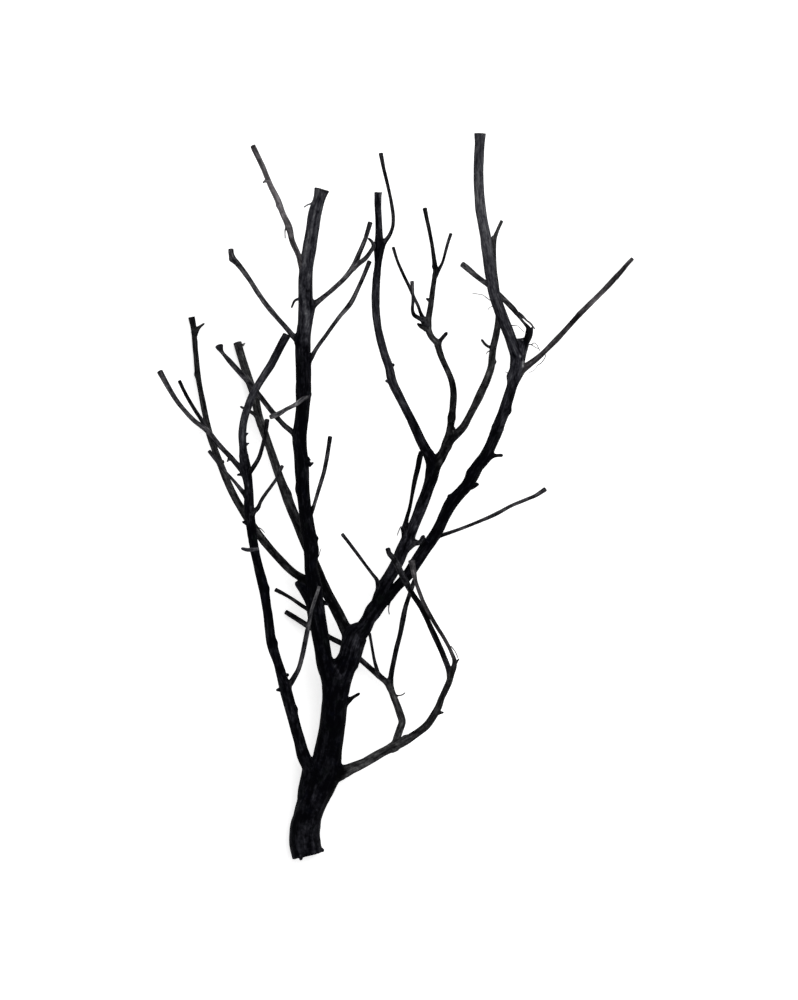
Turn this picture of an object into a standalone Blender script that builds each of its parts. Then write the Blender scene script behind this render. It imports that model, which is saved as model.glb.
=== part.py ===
"""Aquarium driftwood root: a bare blackened branch, lying on a surface, with one solid for each limb.

A limb is a tube along a smooth curve. Its points are (x, y, z, width) in millimetres: x across, y from the
saw cut towards the tips, z up from the surface, and width the thickness of the wood inside the bark. A limb's
first point lies inside the limb that it grows from, and the tube is cut back from it by a narrow gap. The
trunk's cut, the back branch's tip and the outer long twig's tip are what the wood lies on.
"""

import math

import bmesh
import bpy
from mathutils import Vector

MM = 0.001

BARK = 0.4  # all round the wood
GAP = 0.3  # between the solids of two limbs that meet
CURVE_STEPS = 24  # fine steps from one point of a limb to the next, from which the rings are picked

# How far apart the rings of a limb are and how many corners each has, by the limb's mean width.
THICK_LIMB, THICK_RING_STEP, THICK_SIDES = 9.0, 10.5, 12
MIDDLE_LIMB, MIDDLE_RING_STEP, MIDDLE_SIDES = 3.4, 8.5, 8
TWIG_RING_STEP, TWIG_SIDES = 8.5, 6
TIP_LENGTH, TIP_WIDTH = 0.25, 0.6  # a tip's last ring, as shares of the width there

# Each kind of wood: its colour and its roughness.
WOODS = {
    "blackened_wood": ((0.016, 0.016, 0.019), 0.62),
    "blackened_twig": ((0.020, 0.019, 0.021), 0.66),
    "brown_twig_wood": ((0.045, 0.032, 0.026), 0.66),
}

# Each limb: its wood, the limbs that it is cut back from, and its points.
LIMBS = {
    # The trunk and its two stems.
    "trunk": (
        "blackened_wood",
        (),
        (
            (-0.6, -0.9, 10.5, 21.0),
            (-1.9, 4.5, 10.5, 20.4),
            (-2.8, 12.5, 11.5, 19.6),
            (-0.6, 27.5, 14.5, 19.8),
            (6.5, 47.5, 18.5, 20.6),
            (11.0, 58.5, 20.5, 19.6),
            (13.9, 74.0, 23.5, 17.4),
            (17.2, 95.0, 28.5, 17.4),
            (18.9, 111.0, 32.0, 16.8),
            (21.5, 123.0, 35.0, 17.6),
            (25.0, 131.5, 37.0, 16.2),
        ),
    ),
    "trunk_stub": (
        "blackened_twig",
        ("trunk",),
        (
            (22.0, 104.0, 31.0, 3.4),
            (28.0, 108.5, 32.0, 2.6),
            (31.0, 110.9, 32.5, 1.6),
            (35.0, 113.4, 33.0, 1.3),
        ),
    ),
    "right_stem": (
        "blackened_wood",
        ("trunk",),
        (
            (21.5, 123.0, 35.0, 13.0),
            (25.3, 131.8, 37.0, 14.4),
            (29.2, 140.0, 37.5, 14.0),
            (31.6, 149.5, 37.5, 14.6),
            (34.4, 156.0, 37.5, 13.6),
            (38.4, 161.0, 38.0, 11.6),
            (41.6, 166.0, 38.5, 10.6),
            (44.6, 171.5, 39.5, 10.9),
            (48.6, 177.2, 40.5, 12.8),
            (51.8, 182.2, 41.0, 12.8),
        ),
    ),
    "leader": (
        "blackened_wood",
        ("trunk", "right_stem"),
        (
            (17.8, 112.0, 32.0, 8.0),
            (14.6, 126.0, 37.5, 10.6),
            (11.2, 139.5, 42.5, 10.4),
            (9.5, 150.0, 45.5, 10.4),
            (7.8, 160.0, 48.0, 10.6),
            (5.8, 169.5, 50.0, 11.0),
            (4.9, 178.0, 51.5, 10.8),
            (4.2, 190.0, 53.5, 9.4),
            (2.4, 201.0, 55.5, 8.0),
            (1.8, 219.0, 58.5, 8.8),
            (-1.4, 240.0, 62.0, 8.0),
            (-3.6, 265.0, 65.0, 8.4),
            (-4.4, 277.0, 66.3, 8.6),
            (-5.6, 290.0, 67.5, 8.7),
            (-3.5, 312.0, 70.0, 8.4),
            (-2.5, 338.0, 72.5, 9.4),
            (-3.3, 356.0, 73.5, 8.9),
            (-1.0, 379.0, 75.0, 9.1),
            (-1.3, 403.0, 77.0, 8.2),
            (1.8, 427.0, 79.5, 8.3),
            (3.7, 438.0, 81.0, 8.1),
            (5.4, 448.5, 82.5, 7.9),
            (9.0, 461.5, 84.5, 7.5),
            (10.0, 465.3, 85.0, 8.8),
        ),
    ),
    "crossing_branch": (
        "blackened_wood",
        ("right_stem",),
        (
            (31.5, 150.0, 36.5, 8.0),
            (25.7, 160.3, 34.5, 7.2),
            (22.4, 167.2, 33.5, 6.6),
            (18.5, 174.8, 32.7, 6.4),
            (14.3, 182.2, 32.0, 6.2),
            (6.1, 200.0, 30.5, 6.0),
            (-0.9, 217.2, 29.0, 5.8),
            (-8.2, 234.0, 26.5, 5.5),
            (-18.3, 260.0, 22.0, 4.8),
            (-25.2, 279.8, 18.0, 4.4),
            (-31.0, 296.5, 15.0, 4.3),
            (-35.5, 309.0, 12.5, 4.8),
            (-38.1, 322.0, 10.0, 4.5),
            (-42.7, 335.8, 7.5, 4.5),
            (-47.3, 349.3, 5.0, 4.3),
            (-50.6, 361.3, 2.9, 5.0),
        ),
    ),
    # What grows from the leader.
    "leader_broken_stub": (
        "blackened_wood",
        ("leader",),
        (
            (3.5, 176.5, 51.0, 5.4),
            (-0.6, 182.5, 50.5, 5.2),
            (-3.6, 187.2, 50.0, 4.6),
            (-6.8, 190.6, 49.5, 3.0),
        ),
    ),
    "back_branch": (
        "blackened_wood",
        ("leader", "leader_broken_stub"),
        (
            (3.5, 191.0, 53.0, 4.4),
            (-1.9, 194.2, 50.0, 4.4),
            (-8.3, 197.8, 48.0, 4.1),
            (-20.0, 208.5, 43.5, 4.1),
            (-34.0, 224.8, 37.0, 4.1),
            (-45.4, 240.8, 31.0, 4.2),
            (-55.2, 258.4, 25.0, 3.8),
            (-62.3, 275.0, 20.5, 3.7),
            (-69.1, 293.6, 15.5, 3.2),
            (-74.4, 316.0, 10.5, 2.7),
            (-78.5, 338.5, 6.5, 2.7),
            (-80.4, 357.0, 4.0, 2.5),
            (-82.0, 373.0, 2.0, 2.8),
            (-83.3, 379.5, 1.7, 3.4),
        ),
    ),
    "back_branch_twig": (
        "blackened_twig",
        ("back_branch",),
        (
            (-69.8, 294.5, 15.5, 1.7),
            (-74.5, 304.5, 17.5, 1.7),
            (-80.0, 313.0, 20.5, 1.5),
            (-86.0, 323.5, 24.0, 1.5),
            (-90.8, 333.5, 28.0, 1.6),
        ),
    ),
    "cross_twig": (
        "blackened_twig",
        ("leader",),
        (
            (-6.0, 292.0, 67.5, 2.8),
            (-10.6, 297.3, 65.5, 2.6),
            (-16.1, 301.8, 61.5, 2.3),
            (-20.7, 306.7, 57.5, 2.3),
            (-33.8, 322.7, 46.0, 2.3),
            (-45.2, 336.2, 37.0, 2.4),
            (-55.4, 347.6, 30.5, 2.2),
            (-63.6, 357.6, 26.0, 2.8),
        ),
    ),
    "leader_low_twig": (
        "blackened_twig",
        ("leader",),
        (
            (-0.6, 233.5, 61.5, 2.2),
            (2.8, 241.5, 63.5, 1.7),
            (6.9, 254.5, 67.0, 1.6),
            (11.8, 271.0, 71.5, 1.7),
            (14.5, 285.0, 75.5, 1.8),
            (15.8, 293.6, 78.0, 2.0),
        ),
    ),
    "leader_front_twig": (
        "blackened_twig",
        ("leader",),
        (
            (1.2, 323.2, 72.5, 2.2),
            (-3.4, 319.9, 77.8, 1.9),
            (-7.8, 316.5, 79.0, 1.8),
            (-14.7, 312.9, 80.5, 1.7),
            (-21.3, 309.0, 82.0, 2.2),
            (-25.8, 307.3, 83.0, 1.9),
        ),
    ),
    "leader_mid_twig": (
        "blackened_twig",
        ("leader",),
        (
            (-2.6, 340.0, 72.5, 2.6),
            (2.4, 348.4, 73.5, 2.4),
            (5.5, 354.0, 74.5, 1.8),
            (13.0, 364.5, 77.5, 1.6),
            (22.3, 377.2, 81.5, 1.7),
            (29.7, 385.9, 84.0, 2.0),
            (35.8, 397.7, 87.0, 1.6),
            (41.0, 409.5, 89.5, 1.7),
            (43.2, 415.0, 91.0, 2.0),
        ),
    ),
    "leader_high_twig": (
        "blackened_twig",
        ("leader",),
        (
            (-1.2, 376.5, 75.0, 3.0),
            (4.8, 385.8, 75.5, 3.2),
            (10.4, 390.4, 76.0, 2.1),
            (20.2, 398.6, 76.5, 2.0),
            (27.2, 405.7, 77.0, 2.2),
            (32.5, 412.8, 77.0, 2.8),
            (35.7, 420.5, 76.5, 2.1),
            (39.7, 430.0, 76.0, 1.9),
            (43.7, 442.7, 75.0, 2.2),
        ),
    ),
    "leader_high_fork": (
        "blackened_twig",
        ("leader_high_twig",),
        (
            (31.8, 410.8, 77.0, 2.2),
            (35.8, 414.3, 78.5, 2.0),
            (40.4, 417.7, 83.0, 1.8),
            (43.8, 422.0, 87.5, 1.7),
            (46.0, 426.4, 91.0, 1.7),
            (44.9, 428.8, 91.5, 1.3),
            (43.2, 430.5, 92.0, 1.0),
        ),
    ),
    "leader_left_twig": (
        "blackened_twig",
        ("leader",),
        (
            (-3.5, 357.5, 73.5, 3.0),
            (-8.9, 362.6, 74.3, 2.9),
            (-14.0, 368.8, 75.0, 2.3),
            (-23.8, 379.8, 76.5, 2.2),
            (-33.1, 392.0, 78.0, 2.2),
            (-41.0, 404.2, 79.5, 2.2),
            (-48.2, 413.7, 80.8, 2.4),
            (-51.6, 417.5, 81.5, 2.9),
            (-52.8, 421.0, 82.0, 2.6),
            (-53.0, 423.7, 82.5, 2.6),
        ),
    ),
    "leader_top_twig": (
        "brown_twig_wood",
        ("leader",),
        (
            (-1.0, 401.0, 77.0, 3.4),
            (-3.9, 411.3, 79.0, 3.0),
            (-6.3, 420.3, 80.5, 2.4),
            (-10.4, 429.6, 82.5, 2.4),
            (-12.4, 438.6, 84.0, 3.0),
            (-16.8, 448.6, 86.5, 2.5),
            (-20.2, 457.5, 88.5, 2.8),
            (-25.2, 467.6, 90.5, 2.4),
            (-30.2, 479.6, 93.0, 2.2),
            (-37.4, 494.7, 96.0, 2.5),
        ),
    ),
    # The low limb on the left, with its twigs.
    "left_limb": (
        "blackened_wood",
        ("trunk",),
        (
            (5.5, 50.0, 19.0, 9.0),
            (0.6, 60.5, 24.0, 9.4),
            (-3.2, 69.5, 29.0, 7.8),
            (-6.1, 80.0, 34.0, 6.8),
            (-9.3, 91.5, 39.0, 6.5),
            (-12.5, 104.5, 44.5, 6.6),
            (-16.4, 120.0, 51.0, 6.5),
            (-20.3, 134.0, 55.5, 5.3),
            (-25.1, 150.0, 59.5, 5.7),
            (-27.8, 169.5, 62.5, 5.5),
            (-30.8, 189.0, 65.0, 5.6),
            (-35.8, 210.0, 67.0, 5.2),
            (-39.1, 229.0, 68.0, 5.4),
            (-40.7, 243.0, 68.5, 6.2),
            (-41.2, 260.0, 69.0, 5.3),
            (-42.9, 271.0, 69.0, 6.2),
            (-44.9, 285.0, 69.0, 4.6),
            (-45.1, 300.0, 69.5, 4.2),
            (-43.4, 309.0, 70.3, 4.0),
            (-41.0, 316.0, 71.0, 3.9),
            (-38.1, 323.3, 72.0, 3.8),
            (-34.5, 329.9, 73.5, 3.9),
            (-30.1, 336.7, 75.0, 4.0),
            (-25.6, 343.6, 76.5, 4.1),
            (-18.2, 357.4, 79.5, 4.0),
            (-14.2, 364.6, 81.0, 4.1),
        ),
    ),
    "left_limb_front_twig": (
        "blackened_twig",
        ("left_limb",),
        (
            (-15.6, 116.0, 49.5, 2.4),
            (-10.5, 124.5, 54.5, 2.4),
            (-6.7, 131.5, 57.0, 2.0),
            (-3.9, 141.0, 59.5, 1.9),
            (-1.9, 150.5, 61.5, 1.9),
            (-0.4, 158.0, 63.0, 1.9),
            (3.0, 173.5, 66.0, 1.9),
            (8.1, 189.5, 68.5, 1.9),
        ),
    ),
    "left_limb_curved_twig": (
        "blackened_twig",
        ("left_limb",),
        (
            (-40.2, 236.5, 69.0, 2.4),
            (-37.2, 241.8, 71.5, 2.4),
            (-34.3, 244.6, 73.5, 1.9),
            (-32.9, 248.0, 75.0, 1.4),
            (-31.2, 251.0, 76.2, 1.3),
            (-27.9, 255.8, 78.5, 1.2),
            (-24.3, 260.5, 80.5, 1.2),
            (-21.1, 265.3, 82.3, 1.2),
            (-18.7, 270.7, 84.0, 1.3),
            (-17.3, 273.4, 85.0, 1.4),
        ),
    ),
    "left_limb_thin_twig": (
        "blackened_twig",
        ("left_limb",),
        (
            (-41.6, 251.0, 68.5, 2.2),
            (-45.6, 256.0, 67.0, 2.0),
            (-50.1, 261.5, 65.0, 1.4),
            (-60.0, 272.5, 62.0, 1.3),
            (-68.8, 284.0, 59.0, 1.5),
        ),
    ),
    "left_limb_inner_twig": (
        "blackened_twig",
        ("left_limb",),
        (
            (-42.4, 266.5, 69.5, 2.4),
            (-37.4, 273.0, 72.5, 2.0),
            (-33.8, 279.1, 75.0, 1.8),
            (-31.0, 288.0, 78.5, 1.7),
            (-28.6, 299.0, 81.5, 1.8),
            (-27.9, 305.4, 83.0, 2.1),
        ),
    ),
    "left_limb_long_twig": (
        "blackened_twig",
        ("left_limb",),
        (
            (-43.0, 267.0, 68.5, 3.0),
            (-47.3, 272.4, 67.0, 2.8),
            (-54.1, 280.2, 65.0, 2.2),
            (-62.0, 288.5, 63.0, 2.2),
            (-70.0, 298.0, 60.5, 2.4),
            (-80.0, 306.0, 57.5, 2.2),
            (-90.0, 317.0, 54.0, 2.1),
            (-98.0, 329.5, 50.5, 2.2),
            (-103.7, 339.7, 48.5, 2.9),
        ),
    ),
    # The low limb on the right, with what grows from it.
    "right_limb": (
        "blackened_wood",
        ("trunk", "left_limb"),
        (
            (11.5, 53.5, 19.5, 9.0),
            (22.5, 57.2, 20.5, 8.6),
            (30.0, 60.7, 22.0, 6.4),
            (40.0, 65.3, 25.0, 5.4),
            (46.0, 68.9, 27.0, 5.6),
            (55.0, 74.1, 31.0, 5.1),
            (62.0, 77.9, 34.5, 5.7),
            (70.0, 82.1, 39.0, 4.7),
            (76.2, 86.3, 43.0, 4.0),
            (82.6, 91.7, 48.0, 4.1),
            (88.3, 99.7, 54.0, 3.9),
            (91.0, 104.3, 57.0, 3.6),
            (93.4, 111.4, 61.0, 3.0),
            (96.4, 118.0, 64.5, 2.9),
            (99.0, 124.6, 67.5, 3.0),
            (99.7, 130.2, 70.0, 3.2),
        ),
    ),
    "right_limb_inner_twig": (
        "blackened_twig",
        ("right_limb",),
        (
            (99.3, 127.0, 69.0, 2.2),
            (97.5, 134.2, 71.5, 2.8),
            (94.7, 141.4, 74.0, 2.7),
            (90.9, 150.4, 76.0, 2.6),
            (85.2, 162.5, 78.0, 2.4),
            (79.0, 175.8, 79.5, 2.4),
            (72.6, 185.4, 80.5, 2.5),
            (68.3, 193.4, 81.0, 3.0),
            (63.9, 201.9, 81.5, 2.9),
            (60.0, 209.4, 82.0, 2.6),
            (56.9, 213.0, 82.5, 2.3),
            (56.0, 216.0, 83.0, 2.2),
        ),
    ),
    "right_limb_brown_twig": (
        "brown_twig_wood",
        ("right_limb", "right_limb_inner_twig"),
        (
            (99.6, 127.2, 69.0, 2.2),
            (102.0, 133.8, 73.0, 2.4),
            (102.3, 137.8, 75.5, 2.0),
            (100.0, 144.2, 78.5, 1.6),
            (94.7, 154.3, 82.0, 1.5),
            (87.7, 165.7, 85.0, 1.6),
            (81.8, 176.5, 87.0, 1.8),
            (77.9, 187.1, 88.5, 1.7),
            (75.3, 194.6, 89.5, 2.0),
            (73.9, 201.0, 90.5, 2.6),
            (72.7, 207.8, 91.5, 2.8),
        ),
    ),
    "right_limb_sub_branch": (
        "blackened_wood",
        ("right_limb",),
        (
            (60.5, 75.0, 33.0, 4.2),
            (62.5, 83.0, 31.5, 3.6),
            (64.2, 88.3, 29.5, 3.4),
            (65.8, 93.8, 27.5, 3.6),
            (64.4, 99.3, 25.5, 3.8),
            (62.0, 106.1, 23.5, 3.5),
            (59.2, 113.2, 21.5, 3.3),
            (57.4, 118.7, 20.0, 3.2),
            (57.1, 122.2, 19.5, 2.8),
        ),
    ),
    "back_low_twig": (
        "blackened_twig",
        ("right_limb_sub_branch",),
        (
            (57.5, 117.5, 20.0, 2.6),
            (54.3, 121.8, 18.5, 2.8),
            (49.9, 125.5, 17.0, 2.8),
            (42.0, 132.4, 14.5, 2.5),
            (35.8, 137.7, 13.0, 2.4),
            (23.6, 148.3, 11.0, 2.4),
            (17.5, 151.4, 10.2, 2.4),
            (11.5, 154.5, 9.5, 2.4),
            (-0.6, 160.8, 8.0, 2.6),
            (-8.7, 165.9, 7.0, 2.4),
            (-16.3, 170.6, 6.0, 2.1),
        ),
    ),
    "back_thin_twig": (
        "blackened_twig",
        ("back_low_twig",),
        (
            (12.5, 154.0, 9.6, 2.0),
            (5.5, 163.5, 12.5, 1.8),
            (-0.6, 172.4, 15.0, 1.7),
            (-5.7, 175.9, 16.5, 1.8),
            (-12.5, 180.6, 18.5, 1.6),
            (-17.6, 183.6, 20.0, 1.6),
            (-23.2, 186.6, 21.5, 1.7),
        ),
    ),
    "back_side_twig": (
        "blackened_twig",
        ("back_low_twig",),
        (
            (49.4, 125.9, 17.0, 1.8),
            (48.1, 130.4, 19.0, 1.5),
            (46.2, 137.5, 22.0, 1.1),
            (45.1, 143.5, 24.5, 1.1),
            (43.8, 151.2, 27.5, 1.1),
            (43.0, 155.8, 29.5, 1.2),
        ),
    ),
    "back_up_twig": (
        "blackened_twig",
        ("right_limb_sub_branch", "back_low_twig"),
        (
            (57.2, 119.5, 20.0, 2.6),
            (58.1, 126.5, 21.5, 2.4),
            (59.9, 135.6, 25.0, 2.2),
            (61.9, 145.3, 29.0, 2.2),
            (64.4, 155.4, 33.0, 2.2),
            (66.3, 165.0, 36.5, 2.4),
            (68.3, 175.0, 40.5, 2.1),
            (71.2, 184.0, 43.5, 2.0),
            (72.7, 188.6, 45.0, 2.2),
            (74.5, 193.8, 47.0, 1.9),
        ),
    ),
    # The middle stem and what grows from it.
    "middle_stem": (
        "blackened_wood",
        ("right_stem",),
        (
            (48.5, 177.0, 40.5, 7.6),
            (53.6, 190.0, 43.0, 8.6),
            (57.9, 197.2, 44.5, 7.7),
            (61.6, 204.3, 46.0, 7.3),
            (65.2, 212.5, 48.0, 7.7),
            (69.2, 221.0, 50.0, 8.1),
            (71.9, 227.5, 51.5, 7.4),
            (75.0, 234.5, 53.0, 6.5),
            (79.4, 245.5, 55.5, 6.9),
            (83.7, 257.0, 58.0, 6.8),
            (86.9, 269.0, 60.5, 7.1),
            (88.2, 275.5, 61.5, 7.8),
        ),
    ),
    "stem_left_twig": (
        "blackened_twig",
        ("right_stem", "middle_stem"),
        (
            (50.0, 184.0, 42.0, 3.0),
            (49.3, 189.8, 45.0, 2.5),
            (48.2, 193.8, 47.0, 1.8),
            (45.0, 198.1, 48.5, 1.4),
            (42.0, 202.1, 50.0, 1.3),
            (34.0, 213.0, 53.5, 1.3),
            (24.1, 226.0, 57.5, 1.4),
        ),
    ),
    "middle_stub": (
        "blackened_twig",
        ("middle_stem",),
        (
            (69.8, 217.5, 50.0, 2.8),
            (75.5, 219.8, 51.0, 2.3),
            (78.6, 220.4, 52.5, 2.2),
            (80.4, 223.6, 54.0, 1.9),
        ),
    ),
    "middle_side_twig": (
        "blackened_twig",
        ("middle_stem",),
        (
            (69.0, 219.5, 50.5, 3.0),
            (67.5, 228.5, 54.0, 2.8),
            (68.8, 235.5, 56.0, 2.0),
            (71.0, 244.0, 58.5, 1.6),
            (72.9, 254.0, 61.5, 1.6),
            (74.8, 264.0, 64.5, 2.0),
            (77.0, 273.2, 67.5, 2.4),
            (78.1, 279.2, 69.5, 2.5),
            (79.2, 283.0, 71.0, 2.1),
        ),
    ),
    "middle_left_branch": (
        "blackened_wood",
        ("middle_stem",),
        (
            (87.6, 271.0, 60.5, 6.0),
            (85.4, 279.5, 62.0, 6.5),
            (82.3, 285.0, 63.5, 6.1),
            (79.0, 291.0, 65.0, 5.7),
            (74.8, 300.5, 67.0, 5.1),
            (68.9, 312.2, 69.5, 4.9),
            (62.6, 324.7, 71.5, 4.8),
            (58.9, 332.6, 73.0, 4.9),
            (56.8, 342.5, 75.0, 4.8),
            (53.6, 351.0, 76.5, 4.5),
            (50.7, 361.8, 78.0, 4.4),
            (48.3, 374.0, 79.5, 4.3),
            (47.5, 388.8, 81.5, 4.0),
            (48.0, 402.4, 83.0, 3.9),
            (49.2, 414.0, 84.5, 3.6),
            (49.9, 424.3, 86.0, 5.4),
            (49.8, 434.5, 87.5, 3.7),
            (49.5, 445.0, 89.0, 3.4),
            (49.1, 454.0, 90.0, 3.5),
            (49.1, 463.0, 91.0, 3.9),
        ),
    ),
    "middle_top_twig": (
        "blackened_twig",
        ("middle_left_branch",),
        (
            (50.2, 422.5, 86.0, 2.6),
            (54.0, 429.2, 87.0, 1.9),
            (57.1, 433.4, 88.5, 1.5),
            (59.4, 439.5, 90.0, 1.3),
            (59.7, 445.7, 91.5, 1.3),
            (58.5, 455.0, 93.5, 1.3),
            (55.9, 467.6, 95.5, 1.3),
            (53.1, 479.4, 97.0, 1.4),
            (51.1, 489.5, 98.0, 1.7),
        ),
    ),
    "middle_right_branch": (
        "blackened_wood",
        ("middle_stem", "middle_left_branch"),
        (
            (88.0, 271.0, 60.5, 5.4),
            (92.5, 278.8, 61.5, 5.8),
            (95.9, 285.4, 62.0, 5.3),
            (98.5, 291.0, 62.5, 5.8),
            (104.0, 296.2, 62.0, 5.0),
            (108.5, 301.0, 61.0, 4.3),
            (112.6, 308.2, 59.0, 4.0),
            (116.9, 316.3, 57.0, 3.9),
            (121.4, 325.8, 54.0, 3.8),
            (125.2, 334.2, 51.5, 3.7),
            (128.2, 343.0, 49.0, 3.5),
            (129.0, 351.0, 47.5, 3.3),
            (129.9, 358.0, 46.0, 3.3),
            (131.8, 366.0, 45.0, 3.3),
            (133.2, 376.0, 44.0, 3.0),
            (133.3, 387.0, 44.0, 2.8),
            (132.0, 399.0, 45.0, 2.5),
            (130.5, 412.0, 46.5, 2.3),
            (130.0, 425.0, 49.0, 2.2),
            (130.6, 433.0, 50.5, 2.2),
            (132.6, 438.5, 51.5, 1.5),
            (135.6, 445.0, 53.0, 1.3),
        ),
    ),
    "middle_inner_branch": (
        "blackened_wood",
        ("middle_right_branch",),
        (
            (97.2, 288.0, 62.0, 4.2),
            (98.9, 296.5, 64.0, 3.9),
            (100.1, 305.0, 66.0, 3.5),
            (101.2, 314.5, 68.5, 3.3),
            (101.7, 323.5, 70.5, 3.2),
            (100.7, 331.6, 72.5, 3.0),
            (97.9, 339.2, 74.0, 2.8),
            (94.7, 346.0, 75.5, 2.9),
            (92.0, 352.8, 77.0, 3.1),
            (90.2, 358.9, 78.0, 3.5),
            (86.2, 363.4, 79.0, 3.3),
            (84.0, 368.7, 80.0, 3.6),
            (83.9, 374.0, 81.0, 3.4),
            (84.9, 379.6, 82.0, 2.7),
            (86.0, 386.4, 83.5, 2.3),
            (87.0, 395.0, 85.5, 2.1),
            (88.2, 403.2, 87.5, 2.0),
            (89.1, 408.8, 89.0, 2.4),
            (88.6, 412.6, 90.0, 2.2),
            (87.7, 418.8, 91.5, 1.8),
            (86.3, 428.2, 93.5, 1.5),
            (84.5, 437.4, 95.5, 1.5),
            (82.6, 445.8, 97.0, 1.7),
            (81.5, 451.4, 98.0, 2.0),
        ),
    ),
    "inner_spur": (
        "blackened_twig",
        ("middle_inner_branch",),
        (
            (90.5, 357.0, 78.0, 2.2),
            (92.8, 361.2, 79.0, 1.7),
            (96.2, 365.2, 80.0, 1.6),
        ),
    ),
    "inner_elbow_twig": (
        "blackened_twig",
        ("middle_inner_branch",),
        (
            (84.0, 371.0, 80.5, 2.6),
            (80.4, 374.8, 82.0, 2.0),
            (77.0, 376.4, 83.5, 1.7),
            (74.0, 378.5, 85.0, 1.6),
            (73.1, 381.2, 86.0, 1.4),
            (73.3, 387.0, 88.0, 1.3),
            (73.2, 394.0, 90.5, 1.2),
            (72.8, 401.0, 93.0, 1.5),
        ),
    ),
    "inner_thin_twig": (
        "blackened_twig",
        ("middle_inner_branch", "inner_elbow_twig"),
        (
            (84.0, 372.5, 80.5, 2.2),
            (80.6, 376.0, 79.5, 1.9),
            (78.9, 379.4, 79.0, 1.4),
            (76.7, 385.4, 79.0, 1.2),
            (74.2, 390.4, 79.5, 1.2),
            (71.7, 396.2, 80.0, 1.2),
            (67.5, 404.6, 81.0, 1.2),
            (62.8, 415.4, 82.0, 1.1),
            (59.7, 425.2, 83.0, 1.3),
        ),
    ),
    "inner_top_twig": (
        "blackened_twig",
        ("middle_inner_branch",),
        (
            (88.8, 405.5, 88.0, 2.0),
            (91.4, 409.8, 89.5, 1.4),
            (93.7, 414.2, 91.0, 1.1),
            (96.1, 422.6, 93.5, 1.1),
            (97.9, 429.0, 95.5, 1.1),
            (99.6, 434.0, 97.0, 1.2),
        ),
    ),
    # The outer stem and what grows from it.
    "outer_stem": (
        "blackened_wood",
        ("right_stem", "middle_stem"),
        (
            (49.0, 176.0, 39.5, 6.6),
            (56.2, 183.0, 40.5, 7.2),
            (62.2, 189.0, 41.5, 6.4),
            (70.2, 197.7, 43.0, 6.8),
            (75.4, 205.9, 44.5, 7.2),
            (80.9, 214.3, 46.0, 7.2),
            (86.0, 221.5, 47.5, 6.8),
            (91.6, 230.7, 49.5, 6.6),
            (96.2, 240.2, 51.5, 6.9),
            (100.0, 247.3, 53.0, 7.4),
            (105.4, 253.8, 54.5, 7.0),
            (110.5, 259.6, 56.0, 7.3),
            (114.3, 265.5, 57.0, 7.6),
            (118.1, 272.8, 58.0, 7.2),
            (123.5, 279.6, 59.5, 7.4),
            (127.5, 287.4, 61.0, 6.6),
            (130.7, 295.2, 62.5, 6.9),
            (133.7, 303.2, 64.0, 7.3),
            (136.9, 311.2, 65.0, 7.2),
            (139.5, 319.6, 66.0, 6.5),
            (142.3, 328.8, 67.0, 6.4),
            (144.1, 336.6, 68.0, 7.2),
            (145.8, 344.0, 69.0, 8.2),
        ),
    ),
    "outer_spur": (
        "blackened_twig",
        ("outer_stem",),
        (
            (124.0, 279.0, 59.5, 3.0),
            (128.8, 280.6, 60.5, 2.2),
            (131.8, 280.9, 61.5, 1.4),
            (134.9, 281.0, 62.5, 1.4),
        ),
    ),
    "outer_low_twig": (
        "blackened_twig",
        ("outer_stem",),
        (
            (86.5, 221.5, 47.5, 2.2),
            (92.0, 224.5, 46.5, 1.8),
            (99.0, 226.9, 44.5, 1.5),
            (109.1, 230.6, 42.0, 1.4),
            (120.1, 235.0, 39.5, 1.4),
            (131.2, 239.8, 36.5, 1.6),
            (142.3, 245.7, 33.5, 1.4),
            (152.4, 249.9, 30.5, 1.5),
            (159.5, 252.9, 28.5, 1.6),
            (166.6, 257.4, 26.5, 2.0),
        ),
    ),
    "outer_top": (
        "blackened_wood",
        ("outer_stem",),
        (
            (145.4, 341.0, 68.5, 6.2),
            (145.4, 350.5, 70.5, 7.6),
            (143.1, 357.3, 72.5, 7.0),
            (140.6, 364.2, 74.0, 6.6),
            (137.4, 372.2, 76.0, 6.4),
            (134.2, 380.6, 78.0, 6.3),
            (131.1, 389.4, 80.0, 6.3),
            (129.1, 396.8, 81.5, 6.1),
            (127.5, 404.7, 83.0, 6.1),
            (126.2, 413.6, 84.5, 6.3),
            (124.8, 423.4, 86.5, 6.3),
            (123.7, 432.2, 88.0, 6.3),
            (121.8, 441.6, 90.0, 6.1),
            (120.3, 450.5, 91.5, 5.9),
            (119.6, 458.8, 93.0, 5.6),
            (118.9, 467.6, 94.5, 5.9),
            (118.8, 477.5, 96.0, 5.8),
            (119.1, 487.4, 98.0, 5.5),
            (119.6, 497.2, 99.5, 5.7),
            (119.8, 503.1, 100.5, 6.5),
        ),
    ),
    "outer_long_twig": (
        "brown_twig_wood",
        ("outer_stem", "outer_top"),
        (
            (144.0, 335.0, 67.5, 4.6),
            (149.6, 340.9, 65.5, 4.4),
            (154.8, 344.8, 62.5, 3.2),
            (162.0, 350.4, 57.5, 2.7),
            (170.0, 358.2, 50.5, 2.7),
            (178.2, 366.7, 43.0, 2.6),
            (186.4, 375.9, 35.5, 2.4),
            (190.6, 380.6, 31.5, 2.5),
            (198.8, 388.7, 24.5, 2.3),
            (207.0, 396.7, 17.5, 2.4),
            (214.3, 404.5, 11.5, 2.4),
            (221.4, 412.1, 6.0, 2.1),
            (226.4, 418.0, 2.1, 1.7),
            (229.0, 420.7, 0.5, 1.6),
        ),
    ),
    "outer_upper_twig": (
        "brown_twig_wood",
        ("outer_stem", "outer_top"),
        (
            (146.5, 344.0, 69.0, 5.2),
            (150.4, 355.5, 69.0, 5.0),
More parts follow.
